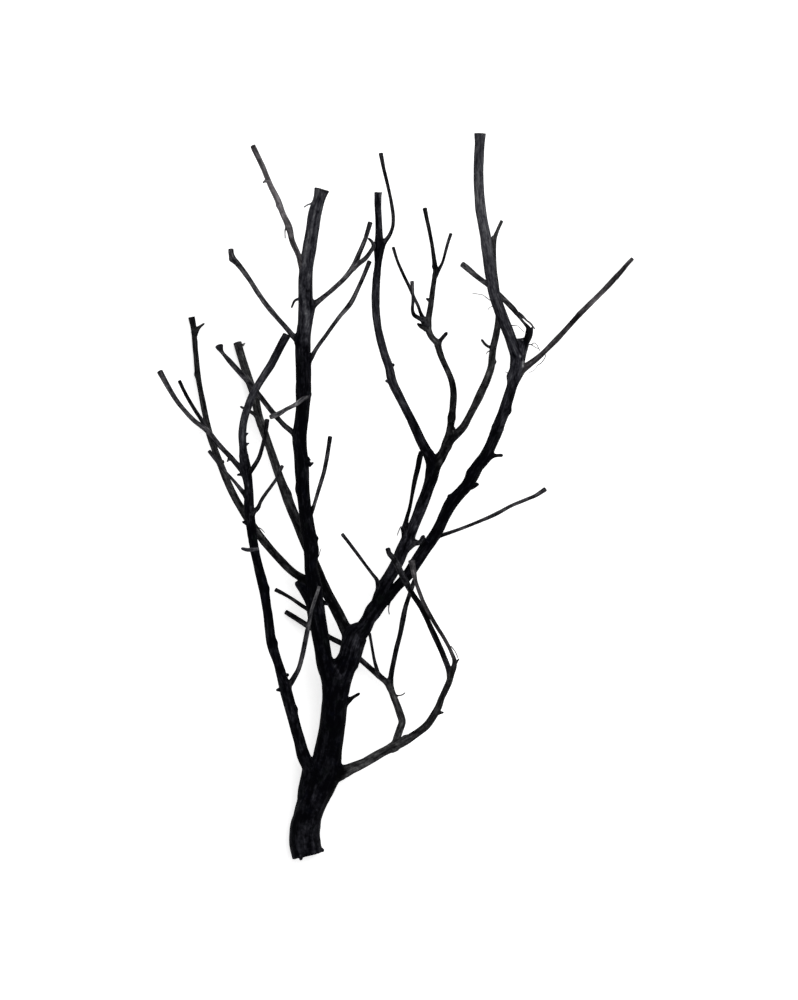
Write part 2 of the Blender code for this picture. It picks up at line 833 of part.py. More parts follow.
            (152.4, 361.5, 68.5, 4.3),
            (153.7, 366.5, 67.5, 3.4),
            (154.3, 369.4, 66.8, 2.8),
            (152.3, 372.8, 65.5, 2.1),
            (148.2, 377.7, 63.5, 2.1),
            (143.2, 383.5, 61.5, 2.2),
            (137.9, 389.0, 60.0, 2.4),
            (131.9, 395.0, 59.0, 2.3),
            (125.9, 400.2, 59.5, 2.4),
            (119.9, 404.5, 61.0, 2.2),
            (113.9, 409.5, 62.5, 2.4),
            (110.4, 412.4, 63.5, 2.6),
            (107.9, 414.2, 64.5, 2.7),
        ),
    ),
}


# The limbs that end flat, in a cut or where the next limb goes on. The others end in a worn tip.
FLAT_ENDED = (
    "trunk",
    "right_stem",
    "leader",
    "crossing_branch",
    "back_branch",
    "left_limb",
    "middle_stem",
    "middle_left_branch",
    "outer_stem",
    "outer_top",
)


def between(before, start, end, after, share):
    """The point at this share of the way from start to end, on a curve that runs smoothly on past both."""
    spans = [max((b - a).length, 1e-6) for a, b in ((before, start), (start, end), (end, after))]
    pace_in = (start - before) / spans[0] if before != start else (end - start) / spans[1]
    pace_out = (after - end) / spans[2] if after != end else (end - start) / spans[1]
    along = (end - start) / spans[1]
    leave = (pace_in * spans[1] + along * spans[0]) / (spans[0] + spans[1]) * spans[1]
    reach = (along * spans[2] + pace_out * spans[1]) / (spans[1] + spans[2]) * spans[1]
    twice, thrice = share**2, share**3
    return (
        start * (2 * thrice - 3 * twice + 1)
        + leave * (thrice - 2 * twice + share)
        + end * (3 * twice - 2 * thrice)
        + reach * (thrice - twice)
    )


def smooth_curve(points):
    """Fine steps along the limb's curve, as four-part vectors of place and width."""
    knots = [Vector(point) for point in points]
    knots = [knots[0], *knots, knots[-1]]
    curve = []
    for i in range(1, len(knots) - 2):
        for step in range(CURVE_STEPS):
            curve.append(between(*knots[i - 1 : i + 3], step / CURVE_STEPS))
    return [*curve, knots[-1]]


def ring_points(curve, ring_step):
    """The points of the curve that get a ring: the two ends, and between them one every step of length."""
    lengths = [0.0]
    for a, b in zip(curve, curve[1:]):
        lengths.append(lengths[-1] + (b.xyz - a.xyz).length)
    count = max(2, round(lengths[-1] / ring_step))
    picked = []
    for i in range(count + 1):
        wanted = lengths[-1] * i / count
        picked.append(min(range(len(curve)), key=lambda n: abs(lengths[n] - wanted)))
    return picked


def corners(centre, heading, width, sides):
    """A ring of corners square to the heading, with one of them at its lowest point."""
    side = heading.cross(Vector((0, 0, 1))).normalized()
    up = side.cross(heading).normalized()
    ring = []
    for i in range(sides):
        angle = 2 * math.pi * i / sides - math.pi / 2
        ring.append(centre + (side * math.cos(angle) + up * math.sin(angle)) * width / 2)
    return ring


def limb_mesh(name, extra=0.0):
    """The limb as a closed tube, with its ends moved out and its radius grown by the extra."""
    points = LIMBS[name][2]
    curve = smooth_curve(points)
    mean_width = sum(point.w for point in curve) / len(curve)
    ring_step, sides = TWIG_RING_STEP, TWIG_SIDES
    if mean_width > MIDDLE_LIMB:
        ring_step, sides = MIDDLE_RING_STEP, MIDDLE_SIDES
    if mean_width > THICK_LIMB:
        ring_step, sides = THICK_RING_STEP, THICK_SIDES
    picked = ring_points(curve, ring_step)
    headings = []
    for n in picked:
        ahead, behind = min(n + 2, len(curve) - 1), max(n - 2, 0)
        headings.append((curve[ahead].xyz - curve[behind].xyz).normalized())
    widening = 2 * (BARK + extra)
    rings = [(curve[n].xyz, heading, curve[n].w + widening) for n, heading in zip(picked, headings)]
    rings[0] = (rings[0][0] - headings[0] * extra, headings[0], rings[0][2])
    rings[-1] = (rings[-1][0] + headings[-1] * extra, headings[-1], rings[-1][2])
    if name not in FLAT_ENDED:
        centre, heading, width = rings[-1]
        rings[-1] = (centre - heading * width * TIP_LENGTH, heading, width)
        rings.append((centre, heading, width * TIP_WIDTH))
    base = Vector(points[0][:3])
    shape = bmesh.new()
    made = []
    for centre, heading, width in rings:
        places = corners(centre - base, heading, width, sides)
        made.append([shape.verts.new(place * MM) for place in places])
    for lower, upper in zip(made, made[1:]):
        for i in range(sides):
            j = (i + 1) % sides
            shape.faces.new((lower[i], lower[j], upper[j], upper[i]))
    shape.faces.new(reversed(made[0]))
    shape.faces.new(made[-1])
    bmesh.ops.recalc_face_normals(shape, faces=shape.faces)
    mesh = bpy.data.meshes.new(name)
    shape.to_mesh(mesh)
    shape.free()
    mesh.shade_smooth()
    mesh.set_sharp_from_angle(angle=math.radians(60))
    return mesh


def wood_material(name, kind):
    colour, roughness = WOODS[kind]
    material = bpy.data.materials.new(name)
    material.use_nodes = True
    shader = material.node_tree.nodes["Principled BSDF"]
    shader.inputs["Base Color"].default_value = (*colour, 1.0)
    shader.inputs["Roughness"].default_value = roughness
    shader.inputs["Metallic"].default_value = 0.0
    material.diffuse_color = (*colour, 1.0)
    return material


def placed(name, mesh, start, parent):
    piece = bpy.data.objects.new(name, mesh)
    bpy.context.scene.collection.objects.link(piece)
    piece.parent = parent
    piece.location = Vector(start[:3]) * MM
    return piece


def clearance(name, parent, cutters):
    """The limb grown by the gap, as a hidden cutter. It is made once."""
    if name not in cutters:
        cutter = placed(name + "_clearance", limb_mesh(name, GAP), LIMBS[name][2][0], parent)
        cutter.hide_render = True
        cutter.display_type = "WIRE"
        cutters[name] = cutter
    return cutters[name]


def build_limb(name, parent, cutters):
    kind, grows_from, points = LIMBS[name]
    limb = placed(name, limb_mesh(name), points[0], parent)
    limb.data.materials.append(wood_material(name, kind))
    for other in grows_from:
        cut = limb.modifiers.new("clear of " + other, "BOOLEAN")
        cut.operation = "DIFFERENCE"
        cut.object = clearance(other, parent, cutters)
        cut.solver = "EXACT"
    return limb


def stand_on_origin(pieces, parent):
    """Moves the empty so that the box round the pieces has the middle of its base at the origin."""
    bpy.context.view_layer.update()
    places = [piece.matrix_world @ vertex.co for piece in pieces for vertex in piece.data.vertices]
    low = [min(place[axis] for place in places) for axis in range(3)]
    high = [max(place[axis] for place in places) for axis in range(3)]
    parent.location = Vector((-(low[0] + high[0]) / 2, -(low[1] + high[1]) / 2, -low[2]))


def main():
    for old in list(bpy.data.objects):
        bpy.data.objects.remove(old, do_unlink=True)
    root = bpy.data.objects.new("root_origin", None)
    bpy.context.scene.collection.objects.link(root)
    cutters = {}
    pieces = [build_limb(name, root, cutters) for name in LIMBS]
    stand_on_origin(pieces, root)


main()
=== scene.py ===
"""Aquarium driftwood root: the weathered wood of a bare blackened branch, limb by limb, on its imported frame.

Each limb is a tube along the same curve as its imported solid, with the wood grown smoothly into the limbs
that it forks from, and with furrows, knots, spurs and cut ends. Lengths in the tables are millimetres, in
the frame in which the limbs were laid out: x across, y from the saw cut towards the tips, z up.
"""

import math
from collections import namedtuple

import bmesh
import bpy
import numpy as np
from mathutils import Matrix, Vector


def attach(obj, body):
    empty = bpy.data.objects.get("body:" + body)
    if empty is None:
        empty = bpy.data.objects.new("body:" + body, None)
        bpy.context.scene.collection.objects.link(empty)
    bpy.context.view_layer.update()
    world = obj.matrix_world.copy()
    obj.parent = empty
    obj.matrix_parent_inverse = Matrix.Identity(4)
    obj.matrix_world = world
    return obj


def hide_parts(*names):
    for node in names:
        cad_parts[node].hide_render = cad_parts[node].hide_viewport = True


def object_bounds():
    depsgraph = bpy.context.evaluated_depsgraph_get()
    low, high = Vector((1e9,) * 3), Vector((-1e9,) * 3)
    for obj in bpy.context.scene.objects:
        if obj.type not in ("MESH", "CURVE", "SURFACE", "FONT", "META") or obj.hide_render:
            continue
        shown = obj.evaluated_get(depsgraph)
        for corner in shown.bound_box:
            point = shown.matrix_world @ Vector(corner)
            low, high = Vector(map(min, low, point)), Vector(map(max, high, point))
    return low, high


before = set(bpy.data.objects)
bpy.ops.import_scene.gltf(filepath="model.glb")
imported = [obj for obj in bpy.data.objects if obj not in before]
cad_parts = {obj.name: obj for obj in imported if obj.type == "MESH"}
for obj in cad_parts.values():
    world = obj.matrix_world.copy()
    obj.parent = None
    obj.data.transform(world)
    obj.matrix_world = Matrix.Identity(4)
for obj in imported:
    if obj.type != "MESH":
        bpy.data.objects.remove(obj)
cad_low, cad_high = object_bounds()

MM = 0.001
LAID_OUT_ORIGIN = np.array((62.407, 250.11, -0.4))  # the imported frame's origin, in the tables' frame

BARK = 0.72  # all round the widths in the tables; less round the thinnest twigs
RING_STEP = 0.7
CURVE_STEPS = 24  # fine steps of the curve from one point of a limb to the next
WEB_STEPS = 6  # steps in which the wood is drawn out to a web
SHARP_EDGE = math.radians(55)

# Corners round a limb, by its greatest width inside the bark.
SIDES = ((10.56, 60), (6.56, 44), (3.56, 32), (2.3, 22), (0.0, 12))

# How each kind of end is closed: how far on each ring is, in widths, and its share of the rim's radius.
TIPS = {
    "sawn": (
        (0.012, 0.985), (0.02, 0.95), (0.004, 0.91), (0.0, 0.80), (0.0, 0.66), (0.0, 0.52), (0.0, 0.38),
        (0.0, 0.24), (0.0, 0.11),
    ),
    "snapped": ((0.15, 0.95), (0.30, 0.82), (0.42, 0.66), (0.55, 0.45), (0.62, 0.22)),
    "clipped": ((0.06, 0.98), (0.12, 0.90), (0.17, 0.72), (0.19, 0.45), (0.20, 0.20)),
}
TIP_ROUGHNESS = {"sawn": 0.25, "snapped": 0.12, "clipped": 0.12}

# The bark's relief: how long its marks are round the limb and along it.
BROAD_LUMPS = (2.2, 2.2, 6.0)
FURROWS = (1.3, 1.3, 12.0)
FINE_FURROWS = (0.7, 0.7, 6.0)
CRACKS = (2.0, 2.0, 22.0)
CRACK_SHARE = 0.16  # of the bark's noise, on either side of zero, which is how wide the cracks are
SWELL_LENGTH = 11.0  # from one swelling of a limb to the next
FLECK = 1.3  # across the flecks in a streak
TEAR = 1.1  # across the bumps on a broken or sawn end

WEB_RISE = 0.34  # how far the wood is drawn out in a fork, as a share of its web
WOOD_IOR = 1.45
WOOD_SHINE = 0.02  # specular level, next to nothing: long-soaked wood dries dull
PALEST_TONE = 1.25  # the tone of the palest colour in BARK_TONES, where the one before it has 1

# The surroundings, in metres and watts.
SURFACE_HALF_WIDTH = 6.0
SURFACE_GLOW = 0.55
ROOM_LIGHT = 0.45
SOFTBOX_WIDTH, SOFTBOX_POWER, SOFTBOX_PLACE = 1.6, 26.0, (0.5, 0.5, 1.9)
LENS_MM, SENSOR_MM = 205.7, 36.0
CAMERA_PLACE = (0.0013, -0.0002, 4.05)
NEAREST_SEEN, FARTHEST_SEEN = 0.1, 50.0

Limb = namedtuple("Limb", "nodes bark hosts web ends wear points")
Surface = namedtuple("Surface", "places quads fans cut_quads cut_fans grain end_grain wear hollow")

# Each limb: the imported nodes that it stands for, its bark, its hosts, how far the wood is webbed between it
# and them, how its tip ends, how far the black has worn to grey at even steps from root to tip (0 to 1), and
# its points (x, y, z, width).
LIMBS = {
    # The trunk, which goes on as the right stem, the outer stem and the outer top.
    "stem": Limb(
        "trunk right_stem outer_stem outer_top", "black", "", 0, "sawn",
        (0.2, 0.1, 0, 0, 0.15, 0, 0.05, 0, 0, 0.2, 0.4, 0.4, 0.6, 0.65, 0.5),
        (
            (-0.6, -0.9, 10.5, 21), (-1.9, 4.5, 10.5, 20.4), (-2.8, 12.5, 11.5, 19.6),
            (-0.6, 27.5, 14.5, 19.8), (6.5, 47.5, 18.5, 20.6), (11, 58.5, 20.5, 19.6), (13.9, 74, 23.5, 17.4),
            (17.2, 95, 28.5, 17.4), (18.9, 111, 32, 16.8), (21.5, 123, 35, 16.6), (25.2, 131.8, 37, 14.6),
            (29.2, 140, 37.5, 14), (31.6, 149.5, 37.5, 14.6), (34.4, 156, 37.5, 13.6),
            (39.1, 160.6, 38, 10.3), (42.1, 165.8, 38.5, 8.7), (45.4, 171.5, 39.3, 10.2),
            (50.4, 177.3, 39.8, 8.6), (56.2, 183, 40.5, 7.2), (62.2, 189, 41.5, 5.8),
            (66.2, 193.1, 42.2, 5.9), (70.2, 197.7, 43, 6.8), (75.4, 205.9, 44.5, 7.2),
            (80.9, 214.3, 46, 7.2), (86, 221.5, 47.5, 6.8), (91.6, 230.7, 49.5, 6.6),
            (96.2, 240.2, 51.5, 6.9), (100, 247.3, 53, 7.4), (105.4, 253.8, 54.5, 7), (110.5, 259.6, 56, 7.3),
            (114.3, 265.5, 57, 7.6), (118.1, 272.8, 58, 7.2), (123.5, 279.6, 59.5, 7.4),
            (127.5, 287.4, 61, 6.6), (130.7, 295.2, 62.5, 6.9), (133.7, 303.2, 64, 7.3),
            (136.9, 311.2, 65, 7.2), (139.5, 319.6, 66, 6.5), (142.3, 328.8, 67, 6.4),
            (144.1, 336.6, 68, 7.2), (145.6, 343.6, 69.2, 8), (145.4, 350.5, 70.5, 7.6),
            (143.1, 357.3, 72.5, 7), (140.6, 364.2, 74, 6.6), (137.4, 372.2, 76, 6.4),
            (134.2, 380.6, 78, 6.3), (131.1, 389.4, 80, 6.3), (129.1, 396.8, 81.5, 6.1),
            (127.5, 404.7, 83, 6.1), (126.2, 413.6, 84.5, 6.3), (124.8, 423.4, 86.5, 6.3),
            (123.7, 432.2, 88, 6.3), (121.8, 441.6, 90, 6.1), (120.3, 450.5, 91.5, 5.9),
            (119.6, 458.8, 93, 5.6), (118.9, 467.6, 94.5, 5.9), (118.8, 477.5, 96, 5.8),
            (119.1, 487.4, 98, 5.5), (119.6, 497.2, 99.5, 5.7), (119.8, 503.1, 100.5, 6.5),
        ),
    ),
    "trunk_stub": Limb(
        "trunk_stub", "twig", "stem", 1.8, "snapped",
        (0.1,),
        (
            (22, 104, 31, 3.4), (28, 108.5, 32, 2.6), (31, 110.9, 32.5, 1.6), (35, 113.4, 33, 1.3),
        ),
    ),
    # The leader and what grows from it.
    "leader": Limb(
        "leader", "black", "stem", 5.5, "sawn",
        (0, 0, 0, 0, 0.05, 0, 0.1, 0.4, 0.5, 0.5),
        (
            (17.8, 112, 32, 8), (14.6, 126, 37.5, 10.6), (11.2, 139.5, 42.5, 10.4), (9.5, 150, 45.5, 10.4),
            (7.8, 160, 48, 10.6), (5.8, 169.5, 50, 11), (4.9, 178, 51.5, 10.8), (4.2, 190, 53.5, 9.4),
            (2.4, 201, 55.5, 8), (1.8, 219, 58.5, 8.8), (-1.4, 240, 62, 8), (-3.6, 265, 65, 8.4),
            (-4.4, 277, 66.3, 8.6), (-5.6, 290, 67.5, 8.7), (-3.5, 312, 70, 8.4), (-2.5, 338, 72.5, 9.4),
            (-3.3, 356, 73.5, 8.9), (-1, 379, 75, 9.1), (-1.3, 403, 77, 8.2), (1.8, 427, 79.5, 8.3),
            (3.7, 438, 81, 8.1), (5.4, 448.5, 82.5, 7.9), (9, 461.5, 84.5, 7.5), (10, 465.3, 85, 8.8),
        ),
    ),
    "leader_broken_stub": Limb(
        "leader_broken_stub", "black", "leader", 2.4, "snapped",
        (0.1,),
        (
            (3.5, 176.5, 51, 5.4), (-0.6, 182.5, 50.5, 5.2), (-3.6, 187.2, 50, 4.6), (-6.8, 190.6, 49.5, 3),
        ),
    ),
    "back_branch": Limb(
        "back_branch", "olive", "leader leader_broken_stub", 2.4, "sawn",
        (0.1, 0.3, 0.4, 0.4, 0.3, 0.2),
        (
            (3.5, 191, 53, 4.4), (-1.9, 194.2, 50, 4.4), (-8.3, 197.8, 48, 4.1), (-20, 208.5, 43.5, 4.1),
            (-34, 224.8, 37, 4.1), (-45.4, 240.8, 31, 4.2), (-55.2, 258.4, 25, 3.8), (-62.3, 275, 20.5, 3.7),
            (-69.1, 293.6, 15.5, 3.2), (-74.4, 316, 10.5, 2.7), (-78.5, 338.5, 6.5, 2.7),
            (-80.4, 357, 4, 2.5), (-82, 373, 2, 2.8), (-83.3, 379.5, 2.3, 3.4),
        ),
    ),
    "back_branch_twig": Limb(
        "back_branch_twig", "twig", "back_branch", 1.2, "clipped",
        (0.25, 0.15),
        (
            (-69.8, 294.5, 15.5, 1.7), (-74.5, 304.5, 17.5, 1.7), (-80, 313, 20.5, 1.5),
            (-86, 323.5, 24, 1.5), (-90.8, 333.5, 28, 1.6),
        ),
    ),
    "cross_twig": Limb(
        "cross_twig", "twig", "leader", 1.4, "clipped",
        (0.3, 0.4, 0.5, 0.3),
        (
            (-6, 292, 67.5, 2.8), (-10.6, 297.3, 65.5, 2.6), (-16.1, 301.8, 61.5, 2.3),
            (-20.7, 306.7, 57.5, 2.3), (-33.8, 322.7, 46, 2.3), (-45.2, 336.2, 37, 2.4),
            (-55.4, 347.6, 30.5, 2.2), (-61.6, 355.2, 27.4, 2.2), (-62.3, 356.6, 26.7, 3.4),
            (-62.8, 358, 26.2, 4.4),
        ),
    ),
    "leader_low_twig": Limb(
        "leader_low_twig", "twig", "leader", 0.8, "clipped",
        (0.3, 0.5, 0.25),
        (
            (-0.6, 233.5, 61.5, 2.2), (2.8, 241.5, 63.5, 1.7), (6.9, 254.5, 67, 1.6), (11.8, 271, 71.5, 1.7),
            (14.5, 285, 75.5, 1.8), (15.8, 293.6, 78, 2),
        ),
    ),
    "leader_front_twig": Limb(
        "leader_front_twig", "twig", "leader", 1, "clipped",
        (0.5, 0.7, 0.4),
        (
            (1.2, 323.2, 72.5, 2.2), (-3.4, 319.9, 77.8, 1.9), (-7.8, 316.5, 79, 1.8),
            (-14.7, 312.9, 80.5, 1.7), (-21.3, 309, 82, 2.2), (-25.5, 307.5, 83, 1.8),
        ),
    ),
    "leader_mid_twig": Limb(
        "leader_mid_twig", "twig", "leader", 1.2, "clipped",
        (0.4, 0.55, 0.4),
        (
            (-2.6, 340, 72.5, 2.6), (2.4, 348.4, 73.5, 2.4), (5.5, 354, 74.5, 1.8), (13, 364.5, 77.5, 1.6),
            (22.3, 377.2, 81.5, 1.7), (29.7, 385.9, 84, 2), (35.8, 397.7, 87, 1.6), (41, 409.5, 89.5, 1.7),
            (43.2, 415, 91, 2),
        ),
    ),
    "leader_high_twig": Limb(
        "leader_high_twig", "twig", "leader", 2.6, "clipped",
        (0.3, 0.6, 0.5),
        (
            (-1.2, 376.5, 75, 3), (4.8, 385.8, 75.5, 3.2), (10.4, 390.4, 76, 2.1), (20.2, 398.6, 76.5, 2),
            (27.2, 405.7, 77, 2.2), (32.5, 412.8, 77, 2.8), (35.7, 420.5, 76.5, 2.1), (39.7, 430, 76, 1.9),
            (43.7, 442.7, 75, 2.2),
        ),
    ),
    "leader_high_fork": Limb(
        "leader_high_fork", "twig", "leader_high_twig", 1.4, "snapped",
        (0.5, 0.35),
        (
            (31.8, 410.8, 77, 2.2), (35.8, 414.3, 78.5, 2), (40.4, 417.7, 83, 1.8), (43.8, 422, 87.5, 1.7),
            (46, 426.4, 91, 1.7), (44.9, 428.8, 91.5, 1.3), (43.2, 430.5, 92, 1),
        ),
    ),
    "leader_left_twig": Limb(
        "leader_left_twig", "twig", "leader", 2.2, "clipped",
        (0.3, 0.6, 0.4),
        (
            (-3.5, 357.5, 73.5, 3), (-8.9, 362.6, 74.3, 2.9), (-14, 368.8, 75, 2.3),
            (-23.8, 379.8, 76.5, 2.2), (-33.1, 392, 78, 2.2), (-41, 404.2, 79.5, 2.2),
            (-48.2, 413.7, 80.8, 2.4), (-51.6, 417.5, 81.5, 2.9), (-52.8, 421, 82, 2.6),
            (-53, 423.7, 82.5, 2.6),
        ),
    ),
    "leader_top_twig": Limb(
        "leader_top_twig", "brown", "leader", 1.2, "clipped",
        (0.4, 0.65, 0.85, 0.6),
        (
            (-1, 401, 77, 3.4), (-3.9, 411.3, 79, 3), (-6.3, 420.3, 80.5, 2.4), (-10.4, 429.6, 82.5, 2.4),
            (-12.4, 438.6, 84, 3), (-16.8, 448.6, 86.5, 2.5), (-20.2, 457.5, 88.5, 2.8),
            (-25.2, 467.6, 90.5, 2.4), (-30.2, 479.6, 93, 2.2), (-37.4, 494.7, 96, 2.5),
        ),
    ),
    "crossing_branch": Limb(
        "crossing_branch", "olive", "stem", 3, "sawn",
        (0.05, 0.05, 0.3, 0.5, 0.5, 0.45),
        (
            (31.5, 150, 36.5, 8), (25.7, 160.3, 34.5, 7.2), (22.4, 167.2, 33.5, 6.6),
            (18.5, 174.8, 32.7, 6.4), (14.3, 182.2, 32, 6.2), (6.1, 200, 30.5, 6), (-0.9, 217.2, 29, 5.8),
            (-8.2, 234, 26.5, 5.5), (-18.3, 260, 22, 4.8), (-25.2, 279.8, 18, 4.4), (-31, 296.5, 15, 4.3),
            (-35.5, 309, 12.5, 4.8), (-38.1, 322, 10, 4.5), (-42.7, 335.8, 7.5, 4.5), (-47.3, 349.3, 5, 4.3),
            (-50.6, 361.3, 2.9, 5),
        ),
    ),
    # The left limb and its twigs.
    "left_limb": Limb(
        "left_limb", "black", "stem", 3, "sawn",
        (0.1, 0.1, 0.1, 0.1, 0, 0, 0.15, 0.4, 0.45, 0.25),
        (
            (-0.6, 39.5, 17, 12), (-1.5, 45, 18.8, 11.6), (-1, 50.5, 20, 10.4), (0.6, 60.5, 24, 9.4),
            (-3.2, 69.5, 29, 7.8), (-6.1, 80, 34, 6.8), (-9.3, 91.5, 39, 6.5), (-12.5, 104.5, 44.5, 6.6),
            (-16.4, 120, 51, 6.5), (-20.3, 134, 55.5, 5.3), (-25.1, 150, 59.5, 5.7),
            (-27.8, 169.5, 62.5, 5.5), (-30.8, 189, 65, 5.6), (-35.8, 210, 67, 5.2), (-39.1, 229, 68, 5.4),
            (-40.7, 243, 68.5, 6.2), (-41.2, 260, 69, 5.3), (-42.9, 271, 69, 6.2), (-44.9, 285, 69, 4.6),
            (-45.1, 300, 69.5, 4.2), (-43.4, 309, 70.3, 4), (-41, 316, 71, 3.9), (-38.1, 323.3, 72, 3.8),
            (-34.5, 329.9, 73.5, 3.9), (-30.1, 336.7, 75, 4), (-25.6, 343.6, 76.5, 4.1),
            (-18.2, 357.4, 79.5, 4), (-14.2, 364.6, 81, 4.1),
        ),
    ),
    "left_limb_front_twig": Limb(
        "left_limb_front_twig", "twig", "left_limb", 1.8, "clipped",
        (0.3, 0.4, 0.7),
        (
            (-15.6, 116, 49.5, 2.4), (-10.5, 124.5, 54.5, 2.4), (-6.7, 131.5, 57, 2), (-3.9, 141, 59.5, 1.9),
            (-1.9, 150.5, 61.5, 1.9), (-0.4, 158, 63, 1.9), (3, 173.5, 66, 1.3), (8.1, 189.5, 68.5, 1.1),
        ),
    ),
    "left_limb_curved_twig": Limb(
        "left_limb_curved_twig", "twig", "left_limb", 1.6, "clipped",
        (0.2, 0.4, 0.2),
        (
            (-40.2, 236.5, 69, 2.4), (-37.2, 241.8, 71.5, 2.4), (-34.3, 244.6, 73.5, 1.9),
            (-32.9, 248, 75, 1.4), (-31.2, 251, 76.2, 1.3), (-27.9, 255.8, 78.5, 1.2),
            (-24.3, 260.5, 80.5, 1.2), (-21.1, 265.3, 82.3, 1.2), (-18.7, 270.7, 84, 1.3),
            (-17.3, 273.4, 85, 1.4),
        ),
    ),
    "left_limb_thin_twig": Limb(
        "left_limb_thin_twig", "twig", "left_limb", 1.2, "clipped",
        (0.4, 0.5),
        (
            (-41.6, 251, 68.5, 2.2), (-45.6, 256, 67, 2), (-50.1, 261.5, 65, 1.4), (-60, 272.5, 62, 1.3),
            (-68.8, 284, 59, 1.5),
        ),
    ),
    "left_limb_inner_twig": Limb(
        "left_limb_inner_twig", "twig", "left_limb", 1, "clipped",
        (0.1, 0.35, 0.2),
        (
            (-42.4, 266.5, 69.5, 2.4), (-37.4, 273, 72.5, 2), (-33.8, 279.1, 75, 1.8), (-31, 288, 78.5, 1.7),
            (-28.6, 299, 81.5, 1.8), (-27.9, 305.4, 83, 2.1),
        ),
    ),
    "left_limb_long_twig": Limb(
        "left_limb_long_twig", "twig", "left_limb", 1.8, "clipped",
        (0.3, 0.5, 0.6),
        (
            (-43, 267, 68.5, 3), (-47.3, 272.4, 67, 2.8), (-54.1, 280.2, 65, 2.2), (-62, 288.5, 63, 2.2),
            (-70, 298, 60.5, 2.4), (-80, 306, 57.5, 2.2), (-90, 317, 54, 2.1), (-98, 329.5, 50.5, 2.2),
            (-103.7, 339.7, 48.5, 2.9),
        ),
    ),
    # The right limb, its two upper twigs and the branch under it.
    "right_limb": Limb(
        "right_limb", "olive", "stem", 4.5, "snapped",
        (0.15, 0.5, 0.45, 0.3, 0.4),
        (
            (9, 42, 17.5, 9), (12, 48, 18.8, 10.5), (15.3, 53, 19.6, 10.6), (18.5, 55.9, 20, 9.4),
            (22.5, 57.2, 20.5, 8.6), (30, 60.7, 22, 6.4), (40, 65.3, 25, 5.4), (46, 68.9, 27, 5.6),
            (55, 74.1, 31, 5.1), (62, 77.9, 34.5, 5.7), (70, 82.1, 39, 4.7), (76.2, 86.3, 43, 4),
            (82.6, 91.7, 48, 4.1), (88.3, 99.7, 54, 3.9), (91, 104.3, 57, 3.6), (93.4, 111.4, 61, 3),
            (96.4, 118, 64.5, 2.9), (99, 124.6, 67.5, 3), (99.7, 130.2, 70, 3.2),
        ),
    ),
    "right_limb_inner_twig": Limb(
        "right_limb_inner_twig", "twig", "right_limb", 1.8, "clipped",
        (0.35, 0.15, 0.1, 0.3, 0.15),
        (
            (99.3, 127, 69, 2.2), (97.5, 134.2, 71.5, 2.8), (94.7, 141.4, 74, 2.7), (90.9, 150.4, 76, 2.6),
            (85.2, 162.5, 78, 2.4), (79, 175.8, 79.5, 2.4), (72.6, 185.4, 80.5, 2.5), (68.3, 193.4, 81, 3),
            (63.9, 201.9, 81.5, 2.9), (60, 209.4, 82, 2.6), (56.9, 213, 82.5, 2.3), (56, 216, 83, 2.2),
        ),
    ),
    "right_limb_brown_twig": Limb(
        "right_limb_brown_twig", "brown", "right_limb right_limb_inner_twig", 1.6, "clipped",
        (0.3, 0.4, 0.3, 0.5, 0.6),
        (
            (99.6, 127.2, 69, 2.2), (102, 133.8, 73, 2.4), (102.3, 137.8, 75.5, 2), (100, 144.2, 78.5, 1.6),
            (94.7, 154.3, 82, 1.5), (87.7, 165.7, 85, 1.6), (81.8, 176.5, 87, 1.8), (77.5, 187, 88.5, 1.5),
            (75, 194.6, 89.5, 1.3), (74.2, 198.2, 90, 1.9), (73.4, 202.5, 90.7, 2.3),
            (72.8, 205.5, 91.2, 2.6), (72.6, 207.6, 91.5, 2.7),
        ),
    ),
    "right_limb_sub_branch": Limb(
        "right_limb_sub_branch", "olive", "right_limb", 1.6, "snapped",
        (0.5, 0.35),
        (
            (60.5, 75, 33, 4.2), (62.5, 83, 31.5, 3.6), (64.2, 88.3, 29.5, 3.4), (65.8, 93.8, 27.5, 3.6),
            (64.4, 99.3, 25.5, 3.8), (62, 106.1, 23.5, 3.5), (59.2, 113.2, 21.5, 3.3), (57.4, 118.7, 20, 3.2),
            (57.1, 122.2, 19.5, 2.8),
        ),
    ),
    "back_low_twig": Limb(
        "back_low_twig", "twig", "right_limb_sub_branch", 2, "clipped",
        (0.3, 0.2, 0.15, 0.25),
        (
            (57.5, 117.5, 20, 2.6), (54.3, 121.8, 18.5, 2.8), (49.9, 125.5, 17, 2.8), (42, 132.4, 14.5, 2.5),
            (35.8, 137.7, 13, 2.4), (23.6, 148.3, 11, 2.4), (17.5, 151.4, 10.2, 2.4), (11.5, 154.5, 9.5, 2.4),
            (-0.6, 160.8, 8, 2.6), (-8.7, 165.9, 7, 2.4), (-16.3, 170.6, 6, 2.1),
        ),
    ),
    "back_thin_twig": Limb(
        "back_thin_twig", "twig", "back_low_twig", 1.2, "clipped",
        (0.2, 0.3),
        (
            (12.5, 154, 9.6, 2), (5.5, 163.5, 12.5, 1.8), (-0.6, 172.4, 15, 1.7), (-5.7, 175.9, 16.5, 1.8),
            (-12.5, 180.6, 18.5, 1.6), (-17.6, 183.6, 20, 1.6), (-23.2, 186.6, 21.5, 1.7),
        ),
    ),
    "back_side_twig": Limb(
        "back_side_twig", "twig", "back_low_twig", 1.4, "clipped",
        (0.3,),
        (
            (49.4, 125.9, 17, 1.8), (48.1, 130.4, 19, 1.5), (46.2, 137.5, 22, 1.1), (45.1, 143.5, 24.5, 1.1),
            (43.8, 151.2, 27.5, 1.1), (43, 155.8, 29.5, 1.2),
        ),
    ),
    "back_up_twig": Limb(
        "back_up_twig", "twig", "right_limb_sub_branch back_low_twig", 2, "clipped",
        (0.15, 0.15, 0.3),
        (
